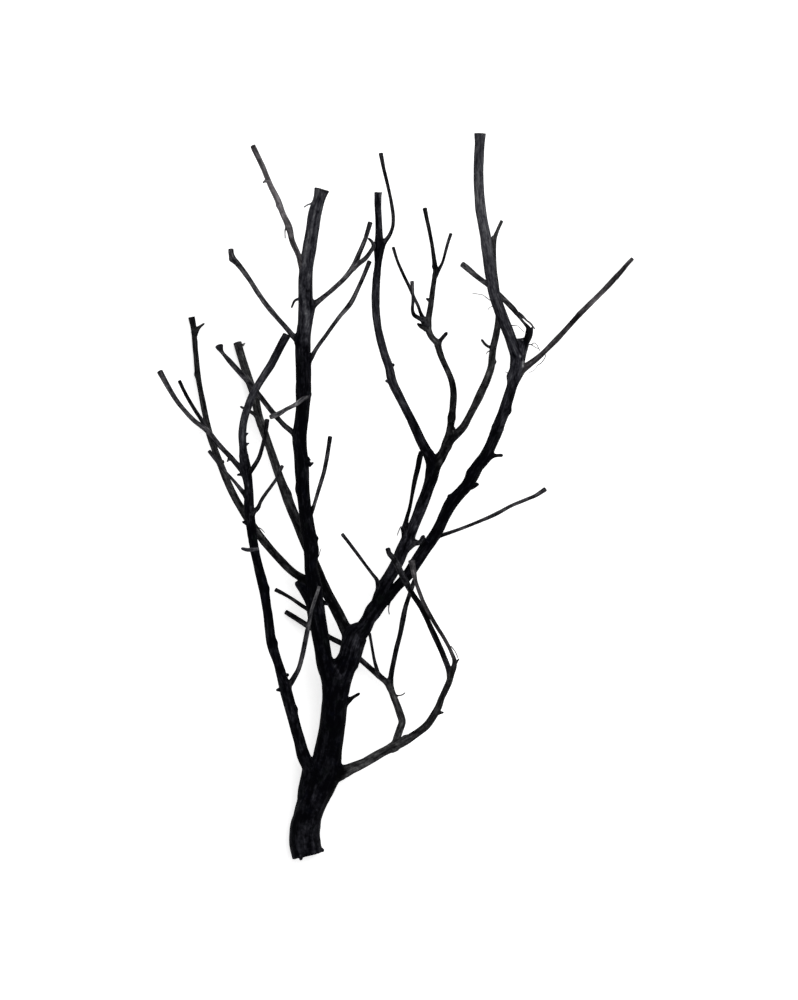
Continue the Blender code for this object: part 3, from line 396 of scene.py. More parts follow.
            (57.2, 119.5, 20, 2.6), (58.1, 126.5, 21.5, 2.4), (59.9, 135.6, 25, 2.2), (61.9, 145.3, 29, 2.2),
            (64.4, 155.4, 33, 2.2), (66.3, 165, 36.5, 2.4), (68.3, 175, 40.5, 2.1), (71.2, 184, 43.5, 2),
            (72.7, 188.6, 45, 2.2), (74.5, 193.8, 47, 1.9),
        ),
    ),
    # The middle stem, which goes on as the middle left branch, and what grows from it.
    "middle": Limb(
        "middle_stem middle_left_branch", "black", "stem", 0.7, "sawn",
        (0, 0.25, 0.25, 0, 0.25, 0.4, 0.4, 0.1, 0.4),
        (
            (45.4, 169.6, 39.5, 6.4), (47, 173.7, 40.1, 7.3), (49, 178.5, 40.7, 8), (53.5, 190.1, 43, 8.2),
            (57.8, 197.4, 44.5, 7), (61.6, 204.3, 46, 7.3), (65.2, 212.5, 48, 7.7), (69.2, 221, 50, 8.1),
            (71.9, 227.5, 51.5, 7.4), (75, 234.5, 53, 6.5), (79.4, 245.5, 55.5, 6.9), (83.7, 257, 58, 6.8),
            (86.6, 268, 60.2, 7), (86.4, 275.5, 61.4, 7), (84.6, 281, 62.4, 6.5), (82, 285.5, 63.5, 6.1),
            (79, 291, 65, 5.7), (74.8, 300.5, 67, 5.1), (68.9, 312.2, 69.5, 4.9), (62.6, 324.7, 71.5, 4.8),
            (58.9, 332.6, 73, 4.9), (56.8, 342.5, 75, 4.8), (53.6, 351, 76.5, 4.5), (50.7, 361.8, 78, 4.4),
            (48.3, 374, 79.5, 4.3), (47.5, 388.8, 81.5, 4), (48, 402.4, 83, 3.9), (49.2, 414, 84.5, 3.6),
            (49.9, 424.3, 86, 5.4), (49.8, 434.5, 87.5, 3.7), (49.5, 445, 89, 3.4), (49.1, 454, 90, 3.5),
            (49.1, 463, 91, 3.9),
        ),
    ),
    "stem_left_twig": Limb(
        "stem_left_twig", "twig", "stem middle", 1.2, "clipped",
        (0.4, 0.3),
        (
            (50, 184, 42, 3), (49.3, 189.8, 45, 2.5), (48.2, 193.8, 47, 1.8), (45, 198.1, 48.5, 1.4),
            (42, 202.1, 50, 1.3), (34, 213, 53.5, 1.3), (24.1, 226, 57.5, 1.4),
        ),
    ),
    "middle_stub": Limb(
        "middle_stub", "twig", "middle", 3, "snapped",
        (0.2,),
        (
            (69.8, 217.5, 50, 3.2), (75.5, 219.8, 51, 2.4), (78.6, 220.4, 52.5, 2.2), (80.4, 223.6, 54, 1.9),
        ),
    ),
    "middle_side_twig": Limb(
        "middle_side_twig", "twig", "middle", 1.6, "clipped",
        (0,),
        (
            (69, 219.5, 50.5, 3), (67.5, 228.5, 54, 2.8), (68.8, 235.5, 56, 2), (71, 244, 58.5, 1.6),
            (72.9, 254, 61.5, 1.6), (74.8, 264, 64.5, 2), (77, 273.2, 67.5, 2.4), (78.1, 279.2, 69.5, 2.5),
            (79.2, 283, 71, 2.1),
        ),
    ),
    "middle_top_twig": Limb(
        "middle_top_twig", "twig", "middle", 1.6, "clipped",
        (0.3, 0.25),
        (
            (50.2, 422.5, 86, 2.6), (54, 429.2, 87, 1.9), (57.1, 433.4, 88.5, 1.5), (59.4, 439.5, 90, 1.3),
            (59.7, 445.7, 91.5, 1.3), (58.5, 455, 93.5, 1.3), (55.9, 467.6, 95.5, 1.3),
            (53.1, 479.4, 97, 1.4), (51.1, 489.5, 98, 1.7),
        ),
    ),
    "middle_right_branch": Limb(
        "middle_right_branch", "olive", "middle", 3.5, "clipped",
        (0.1, 0.3, 0.4, 0.45, 0.5),
        (
            (86.4, 266, 60, 5), (88.9, 273, 60.7, 5.6), (92.5, 278.8, 61.5, 5.8), (95.9, 285.4, 62, 5.3),
            (98.5, 291, 62.5, 5.8), (104, 296.2, 62, 5), (108.5, 301, 61, 4.3), (112.6, 308.2, 59, 4),
            (116.9, 316.3, 57, 3.9), (121.4, 325.8, 54, 3.8), (125.2, 334.2, 51.5, 3.7),
            (128.2, 343, 49, 3.5), (129, 351, 47.5, 3.3), (129.9, 358, 46, 3.3), (131.8, 366, 45, 3.3),
            (133.2, 376, 44, 3), (133.3, 387, 44, 2.8), (132, 399, 45, 2.5), (130.5, 412, 46.5, 2.3),
            (130, 425, 49, 2.2), (130.6, 433, 50.5, 2.2), (132.6, 438.5, 51.5, 1.5), (135.6, 445, 53, 1.3),
        ),
    ),
    "middle_inner_branch": Limb(
        "middle_inner_branch", "olive", "middle_right_branch", 2.6, "clipped",
        (0.1, 0.15, 0.35, 0.35, 0.15, 0.15),
        (
            (97.2, 288, 62, 4.2), (98.9, 296.5, 64, 3.9), (100.1, 305, 66, 3.5), (101.2, 314.5, 68.5, 3.3),
            (101.7, 323.5, 70.5, 3.2), (100.7, 331.6, 72.5, 3), (97.9, 339.2, 74, 2.8),
            (94.7, 346, 75.5, 2.9), (92, 352.8, 77, 3.1), (90.2, 358.9, 78, 3.5), (86.2, 363.4, 79, 3.3),
            (84, 368.7, 80, 3.6), (83.9, 374, 81, 3.4), (84.9, 379.6, 82, 2.7), (86, 386.4, 83.5, 2.3),
            (87, 395, 85.5, 2.1), (88.2, 403.2, 87.5, 2), (89.1, 408.8, 89, 2.4), (88.6, 412.6, 90, 2.2),
            (87.7, 418.8, 91.5, 1.8), (86.3, 428.2, 93.5, 1.5), (84.5, 437.4, 95.5, 1.5),
            (82.6, 445.8, 97, 1.7), (81.5, 451.4, 98, 2),
        ),
    ),
    "inner_spur": Limb(
        "inner_spur", "twig", "middle_inner_branch", 1.4, "snapped",
        (0.2,),
        (
            (90.5, 357, 78, 2.2), (92.8, 361.2, 79, 1.7), (96.2, 365.2, 80, 1.6),
        ),
    ),
    "inner_elbow_twig": Limb(
        "inner_elbow_twig", "twig", "middle_inner_branch", 1.8, "clipped",
        (0.2, 0.5),
        (
            (84, 371, 80.5, 2.6), (80.4, 374.8, 82, 2), (77, 376.4, 83.5, 1.7), (74, 378.5, 85, 1.6),
            (73.1, 381.2, 86, 1.4), (73.3, 387, 88, 1.3), (73.2, 394, 90.5, 1.2), (72.8, 401, 93, 1.5),
        ),
    ),
    "inner_thin_twig": Limb(
        "inner_thin_twig", "twig", "middle_inner_branch inner_elbow_twig", 1.6, "clipped",
        (0.3,),
        (
            (84, 372.5, 80.5, 2.2), (80.6, 376, 79.5, 1.9), (78.9, 379.4, 79, 1.4), (76.7, 385.4, 79, 1.2),
            (74.2, 390.4, 79.5, 1.2), (71.7, 396.2, 80, 1.2), (67.5, 404.6, 81, 1.2), (62.8, 415.4, 82, 1.1),
            (59.7, 425.2, 83, 1.3),
        ),
    ),
    "inner_top_twig": Limb(
        "inner_top_twig", "twig", "middle_inner_branch", 1, "clipped",
        (0.25,),
        (
            (88.8, 405.5, 88, 2), (91.4, 409.8, 89.5, 1.4), (93.7, 414.2, 91, 1.1), (96.1, 422.6, 93.5, 1.1),
            (97.9, 429, 95.5, 1.1), (99.6, 434, 97, 1.2),
        ),
    ),
    # What grows from the outer stem.
    "outer_spur": Limb(
        "outer_spur", "twig", "stem", 1.8, "snapped",
        (0.3,),
        (
            (124, 279, 59.5, 3), (128.8, 280.6, 60.5, 2.2), (131.8, 280.9, 61.5, 1.4),
            (134.9, 281, 62.5, 1.4),
        ),
    ),
    "outer_low_twig": Limb(
        "outer_low_twig", "twig", "stem", 1.2, "clipped",
        (0.3, 0.4, 0.3),
        (
            (86.5, 221.5, 47.5, 2.2), (92, 224.5, 46.5, 1.8), (99, 226.9, 44.5, 1.5), (109.1, 230.6, 42, 1.4),
            (120.1, 235, 39.5, 1.4), (131.2, 239.8, 36.5, 1.6), (142.3, 245.7, 33.5, 1.4),
            (152.4, 249.9, 30.5, 1.5), (159.5, 252.9, 28.5, 1.6), (166.6, 257.4, 26.5, 2),
        ),
    ),
    "outer_long_twig": Limb(
        "outer_long_twig", "brown", "stem", 4.5, "clipped",
        (0.3, 0.45, 0.5, 0.25, 0.75, 0.3, 0.6),
        (
            (144, 335, 67.5, 4.6), (149.6, 340.9, 65.5, 4.4), (154.8, 344.8, 62.5, 3.2),
            (162, 350.4, 57.5, 2.7), (170, 358.2, 50.5, 2.7), (178.2, 366.7, 43, 2.6),
            (186.4, 375.9, 35.5, 2.4), (190.6, 380.6, 31.5, 2.5), (198.8, 388.7, 24.5, 2.3),
            (207, 396.7, 17.5, 2.4), (214.3, 404.5, 11.5, 2.4), (221.4, 412.1, 6, 2.1),
            (226.4, 418, 2.1, 1.7), (229, 420.7, 1.1, 1.6),
        ),
    ),
    "outer_upper_twig": Limb(
        "outer_upper_twig", "twig", "stem", 3.6, "clipped",
        (0.3, 0.1, 0.4, 0.6, 0.5),
        (
            (146.5, 344, 69, 5.2), (151.2, 355.5, 69, 3.1), (152.8, 361.7, 68.5, 2.9),
            (153.8, 366.5, 67.5, 2.7), (153.9, 369.5, 66.6, 2.1), (153.2, 370.8, 66, 1.6),
            (151.9, 372.3, 65.4, 1.2), (149.6, 375, 64.4, 1), (147.6, 377.8, 63.5, 1.4),
            (144.5, 382, 62, 2.5), (137.9, 389, 60, 2.4), (131.9, 395, 59, 2.3), (125.9, 400.2, 59.5, 2.4),
            (119.9, 404.5, 61, 2.2), (113.9, 409.5, 62.5, 2.4), (110.4, 412.4, 63.5, 2.6),
            (107.9, 414.2, 64.5, 2.7),
        ),
    ),
}

# Small spurs, stubs and loose fibres: the limb that each belongs to, how grey it is, and its points.
SPURS = (
    ("left_limb", 0.3, ((-16, 118.5, 51, 2), (-19, 117.3, 51, 1.5), (-21, 117, 51, 1.2))),
    ("left_limb", 0.3, ((-17.5, 126.5, 53, 1.8), (-15.4, 127.2, 53.5, 1.2), (-14.2, 127.6, 53.5, 0.9))),
    ("left_limb", 0.6, (
        (-34.2, 215.8, 70.3, 1.4), (-37.3, 215.6, 71.1, 1.6), (-41.6, 215.2, 70.4, 1.5),
        (-45.1, 216, 69.8, 1.1),
    )),
    ("left_limb", 0.3, ((-40, 233.4, 68, 1.8), (-43, 234, 68.5, 1.2), (-44.6, 234.5, 68.5, 0.8))),
    ("left_limb", 0.3, ((-43, 268.4, 69, 1.8), (-46.5, 267.8, 69.3, 1.2), (-48.2, 267.5, 69.3, 0.8))),
    ("leader", 0.3, ((8, 178.2, 52, 2.4), (11, 178.2, 52, 1.8), (13.7, 177, 52, 1))),
    ("leader", 0.2, (
        (-1.2, 275.6, 66.5, 2.6), (1.2, 275.2, 66.7, 2), (2.4, 275, 66.7, 1.5), (3.1, 275.4, 66.7, 1),
    )),
    ("leader", 0.3, (
        (-4, 390.6, 76, 1.1), (-5.8, 389.9, 76.5, 1), (-8.5, 388.7, 77, 0.9), (-10.8, 384.2, 77.5, 0.6),
    )),
    ("leader", 0.8, (
        (4.5, 456.4, 84, 0.8), (2.6, 455.6, 84.3, 0.3), (0.4, 454.8, 84.6, 0.2), (-2, 453.3, 84.6, 0.1),
    )),
    ("leader_top_twig", 0.6, ((-26.8, 471.4, 91.5, 1.6), (-28.6, 470.9, 91.6, 1), (-29.9, 470.1, 91.6, 0.6))),
    ("leader_top_twig", 0.8, (
        (-13.2, 439, 84.5, 0.9), (-15, 438, 84.5, 0.4), (-15.4, 435, 84.1, 0.1), (-15.3, 431.8, 83.8, 0.1),
    )),
    ("back_branch", 0.4, ((-61.6, 276.2, 20.5, 2.2), (-60.9, 276.7, 20.5, 1.2), (-60.4, 277, 20.5, 0.6))),
    ("back_branch", 0.4, (
        (-81.4, 367.5, 3, 2.6), (-79.9, 369.6, 3.2, 2.2), (-77.6, 372.3, 3.4, 1.2), (-74.7, 374.5, 3.6, 0.6),
    )),
    ("left_limb_long_twig", 0.5, ((-54, 279.2, 65.3, 1.4), (-55.2, 278, 65.5, 0.9), (-55.9, 277, 65.5, 0.3))),
    ("crossing_branch", 0.5, ((-35.5, 308.6, 13, 2.2), (-42.1, 312.8, 16, 1.3), (-47.6, 315.5, 17, 0.7))),
    ("right_limb", 0.3, ((89, 101, 55.5, 1.8), (92, 101.1, 55.8, 1.1), (94, 101.3, 55.8, 0.7))),
    ("right_limb_brown_twig", 0.4, (
        (102, 135.5, 74.5, 1.2), (103.5, 136.9, 74.5, 0.7), (105.2, 139.1, 74.5, 0.3),
    )),
    ("right_limb_sub_branch", 0.6, (
        (60.5, 112, 22, 0.8), (63.5, 112.1, 22.5, 0.3), (66, 112.6, 22.5, 0.2), (67.8, 113.9, 22.5, 0.1),
    )),
    ("middle", 0.3, ((57.5, 332.2, 73.5, 1.8), (55.6, 332.5, 73.6, 1), (54.9, 332.6, 73.6, 0.6))),
    ("middle", 0.3, ((57.2, 342.8, 75.2, 1.8), (58.8, 343.4, 75.2, 1.2), (59.7, 343.9, 75.3, 0.7))),
    ("middle_right_branch", 0.4, (
        (129, 356.5, 46.5, 1.2), (126, 357.6, 47, 0.9), (124, 359.1, 47.5, 0.9), (122, 361.6, 48, 0.8),
    )),
    ("middle_inner_branch", 0.3, ((99.6, 299.5, 64.8, 1.8), (101, 299.7, 65, 1.4), (102, 299.8, 65, 0.8))),
    ("middle_inner_branch", 0.4, (
        (86.3, 386.8, 83.8, 1.6), (84.8, 388.3, 84, 1.2), (83.4, 389.2, 84.2, 0.9),
    )),
    ("middle_inner_branch", 0.15, (
        (84, 369.4, 80, 3), (81, 370, 80, 2.6), (78.6, 371, 80.2, 1.9), (77.2, 371.9, 80.4, 0.9),
    )),
    ("stem", 0.1, ((112, 260.2, 56, 3), (115.9, 259.6, 56.2, 1.8), (118.4, 260.6, 56.3, 1))),
    ("outer_upper_twig", 0.5, (
        (151.6, 357, 68.6, 0.8), (152.9, 360.8, 68.2, 2), (154.6, 363.5, 68, 2.2), (156, 367, 67.6, 1.4),
        (156.6, 369.6, 67.4, 0.6),
    )),
    ("outer_upper_twig", 0.8, (
        (147, 380.3, 63.2, 1.3), (150.2, 377.9, 64, 0.9), (151.6, 376.4, 64.4, 0.6), (153, 375, 64.9, 0.5),
        (154.8, 373.6, 65.5, 0.5), (156.1, 372.3, 66, 0.5), (157.1, 370.8, 66.3, 0.4),
        (158.3, 369.3, 66.5, 0.1),
    )),
    ("left_limb", 0.3, ((-43.6, 288.2, 69.3, 1.2), (-42.2, 288.8, 69.4, 0.8), (-41.2, 289.3, 69.4, 0.3))),
    ("left_limb", 0.3, ((-43.8, 295.2, 69.3, 1.2), (-42.6, 295.8, 69.4, 0.8), (-41.8, 296.2, 69.4, 0.3))),
    ("stem", 0.05, (
        (147, 350.6, 70.3, 1.6), (148.2, 353.8, 70, 3.9), (148.9, 356.2, 70, 4.8), (149.7, 358.7, 69.6, 4.2),
        (150.4, 360.9, 69.2, 2.4),
    )),
    ("stem", 0.1, ((83.5, 219.8, 49, 2.4), (81.6, 222.2, 51.5, 1.6))),
    ("middle_right_branch", 0.4, (
        (129.9, 421.5, 48.6, 0.6), (129.3, 425, 49.5, 1.9), (129.2, 429.6, 50.5, 2.6),
        (129.5, 433.6, 51, 1.3),
    )),
    ("crossing_branch", 0.8, ((-46.8, 359.4, 4.5, 0.9), (-46, 360.4, 4.8, 0.4), (-45.4, 360.9, 4.8, 0.1))),
    ("leader_broken_stub", 0.5, ((-4.4, 187.6, 49.3, 1.8), (-6.2, 189.4, 49.3, 1.5), (-7.3, 190.6, 49.3, 1))),
    ("leader_broken_stub", 0.05, ((0.5, 187.5, 51, 5.2), (-2.6, 189.4, 50, 4.6), (-4.4, 190.2, 49.4, 2.6))),
    ("stem", 0.2, ((-5.2, -0.4, 19.3, 1.8), (-5.4, -2, 19.3, 1.3), (-5.6, -3.3, 19.2, 0.7))),
    ("stem", 0.12, (
        (143.6, 360.4, 70.8, 1.4), (145.8, 361.3, 70.4, 1.1), (147.8, 361.6, 69.9, 1), (150, 362, 69.4, 0.9),
    )),
    ("leader", 0.15, ((1.9, 275.1, 66.7, 1.2), (2, 274.3, 66.7, 1.1), (1.8, 273.6, 66.7, 0.5))),
    ("leader", 0.25, ((-1, 278.9, 66.6, 1.6), (0.6, 278.7, 66.7, 1.2), (1.3, 278.1, 66.7, 0.7))),
    ("stem", 0.95, (
        (57.6, 179.8, 42.6, 0.8), (56.8, 176.2, 41.4, 0.3), (56.4, 172.6, 41, 0.1), (56.9, 170, 41.2, 0.1),
    )),
    ("stem", 0.2, ((5.2, 3.4, 10.5, 2.2), (8.2, 2.8, 10.6, 1.7), (10, 2.3, 10.6, 0.6))),
    ("stem", 0.85, ((149.3, 360.4, 70, 0.9), (149.7, 361, 71, 0.6))),
)

# Root hairs, drier and finer than any spur, which keep the widths given: the limb, how grey and the points.
HAIRS = (
    ("stem", 0.5, (
        (140.7, 371.6, 75, 0.7), (142.3, 371.4, 75, 0.7), (143.5, 371.3, 75.2, 0.7),
        (145.3, 371.3, 75.2, 0.4), (146.8, 370.6, 74, 0.4), (147.9, 369.7, 73, 0.4),
        (149.3, 368.4, 71.5, 0.4), (150.8, 367, 70, 0.4),
    )),
    ("outer_upper_twig", 0.4, (
        (153.9, 358.2, 69, 0.7), (155.2, 358.2, 69.2, 0.7), (156.2, 358.3, 69.6, 0.7),
        (157.8, 359.3, 70, 0.5), (158.8, 358.9, 70.2, 0.5), (160.2, 357.3, 70, 0.5), (161, 355.4, 69.4, 0.5),
        (161.9, 354, 68.6, 0.5),
    )),
    ("outer_upper_twig", 0.4, (
        (155.4, 358.1, 69, 0.6), (156.5, 357.7, 68.8, 0.6), (157.6, 357, 68.6, 0.5), (159.2, 356, 68.4, 0.5),
        (160.4, 355.5, 68.6, 0.4), (161.1, 355.1, 68.9, 0.4),
    )),
    ("outer_long_twig", 0.5, (
        (166.3, 351.3, 54.6, 0.6), (165.9, 349.8, 55, 0.6), (164.6, 347.6, 55.6, 0.6),
        (162.8, 345.5, 56.6, 0.6), (160.6, 344, 57.8, 0.4), (159.7, 342.8, 58.4, 0.4),
        (158.9, 341.3, 59.4, 0.4), (157.4, 340.2, 60.4, 0.4), (155.7, 339.3, 61.4, 0.4),
        (154.5, 339, 62, 0.4),
    )),
    ("stem", 0.4, (
        (140.9, 337.9, 68.1, 0.7), (139.8, 338.4, 68.2, 0.7), (138.7, 338.9, 68.3, 0.5),
        (137.7, 339.2, 68.4, 0.4),
    )),
    ("middle_right_branch", 0.4, (
        (127.3, 354.5, 47, 0.7), (126.2, 353.9, 47, 0.7), (125.3, 353.2, 47, 0.6), (125, 352.1, 47.1, 0.4),
    )),
    ("stem", 0.5, (
        (127.1, 388.6, 80, 0.6), (125.8, 389.5, 80, 0.6), (124.1, 390.8, 80.2, 0.6), (123, 391.6, 80.4, 0.4),
        (122, 392.3, 80.6, 0.4), (119.9, 392.7, 80.8, 0.4), (117.6, 393.1, 81, 0.4),
        (114.8, 393.4, 81.2, 0.4),
    )),
    ("stem", 0.5, (
        (129.9, 385, 79, 0.5), (128.5, 384.6, 79, 0.5), (127.2, 383.9, 79, 0.4), (126.3, 383.2, 79, 0.4),
        (125.5, 382.2, 79, 0.4),
    )),
    ("leader", 0.4, (
        (6.9, 209.5, 57.4, 0.6), (7.8, 211.3, 57.6, 0.6), (8.2, 212.7, 57.8, 0.5), (8.6, 214.1, 58, 0.5),
        (9.1, 215.5, 58.4, 0.4), (9.3, 216.3, 58.6, 0.4),
    )),
    ("right_limb_brown_twig", 0.3, (
        (99.9, 148.3, 79, 0.7), (101.1, 146.8, 78.4, 0.7), (102.4, 145.1, 77.2, 0.6),
        (103.3, 143.4, 76.2, 0.6), (104.1, 141.7, 75.2, 0.6), (104.3, 140.3, 74.6, 0.6),
    )),
    ("middle_side_twig", 0.3, (
        (65.2, 231.4, 54.4, 0.7), (64.3, 230, 54.4, 0.7), (63.5, 228.1, 54.4, 0.6), (62.8, 226.2, 54.5, 0.6),
        (62.6, 225.1, 54.5, 0.4),
    )),
    ("back_branch", 0.3, (
        (-34.7, 230.5, 36, 0.7), (-33.3, 229.8, 36.4, 0.7), (-31.7, 228.2, 36.4, 0.6),
        (-30.5, 226.9, 36.2, 0.4),
    )),
)

# Knots and hollows: the limb, the place nearest them, how far they spread along and across the wood, and
# their height.
KNOTS = (
    ("left_limb", (-7.6, 103.5, 44.5), 2.4, 0.9),
    ("left_limb", (-27.5, 188.5, 65), 2.6, 0.8),
    ("left_limb", (-22, 150.5, 59.5), 2.4, 0.7),
    ("leader", (6.3, 214, 58.5), 6, 0.7),
    ("leader", (-8.4, 257, 65), 4, 1.2),
    ("leader", (0.2, 275.8, 66.5), 2.4, 0.5),
    ("leader_top_twig", (-14, 438.4, 84.5), 1.6, 0.8),
    ("leader_top_twig", (-21.5, 453.4, 88), 1.8, 0.7),
    ("leader_left_twig", (-53.6, 416.7, 81.5), 1.6, 0.8),
    ("back_branch", (-80.2, 338.6, 6.5), 1.8, 0.7),
    ("crossing_branch", (-13.3, 255.2, 23.5), 3, 0.7),
    ("middle", (47.2, 426, 86), 2, 0.7),
    ("middle", (52.6, 427.4, 86.5), 2, 0.7),
    ("middle", (51.3, 463, 91), 1.2, 0.5),
    ("middle_side_twig", (66, 229.6, 54.5), 1.6, 0.7),
    ("middle_inner_branch", (87.3, 411.6, 90), 1.4, 0.6),
    ("stem", (98, 253.4, 54), 1.6, 1.4),
    ("stem", (111.4, 270, 57.8), 3.2, 0.9),
    ("stem", (140.2, 336.6, 68), 3.4, 0.9),
    ("stem", (9.6, 2.2, 10.5), 2.2, 0.5),
    ("stem", (2, 32, 25), 4, -0.7),
    ("right_limb_brown_twig", (71.4, 206.8, 91.5), 1.6, 0.6),
    ("stem", (34.4, 132.5, 36), 1.8, 0.8),
    ("leader", (6.4, 223.2, 59.5), 1.8, 1.2),
    ("right_limb", (67.5, 84.2, 38), 2, 0.7),
    ("stem", (79.2, 216.3, 47), 2.2, 0.9),
    ("stem", (141.6, 311.6, 65.5), 2.4, 1),
    ("middle_inner_branch", (98, 308, 66.5), 3, 0.5),
    ("middle_inner_branch", (102.6, 307, 66.5), 3, 0.6),
    ("middle", (87.6, 283.6, 63), 1.6, 0.6),
    ("inner_elbow_twig", (80, 373, 81.5), 1.6, 0.8),
    ("leader", (13.6, 464.6, 86), 1.8, 0.6),
    ("middle_right_branch", (130.9, 346.6, 48.2), 1.5, 0.9),
)

# Rings round a limb, where a bud or a shoot once was: the limb, a place on it, length and height.
COLLARS = (
    ("right_limb", (24.5, 58, 21), 0.9, -0.35),
    ("left_limb", (-44.4, 281, 69), 1, 0.3),
    ("left_limb", (-36.7, 214.5, 67), 0.9, 0.3),
    ("middle", (48.6, 407, 83.5), 0.8, 0.25),
    ("stem", (132.6, 299.8, 63.5), 1.2, 0.35),
    ("outer_long_twig", (190.6, 380.6, 31.5), 1.2, 0.25),
    ("outer_long_twig", (217.5, 408, 9), 1.2, 0.25),
)


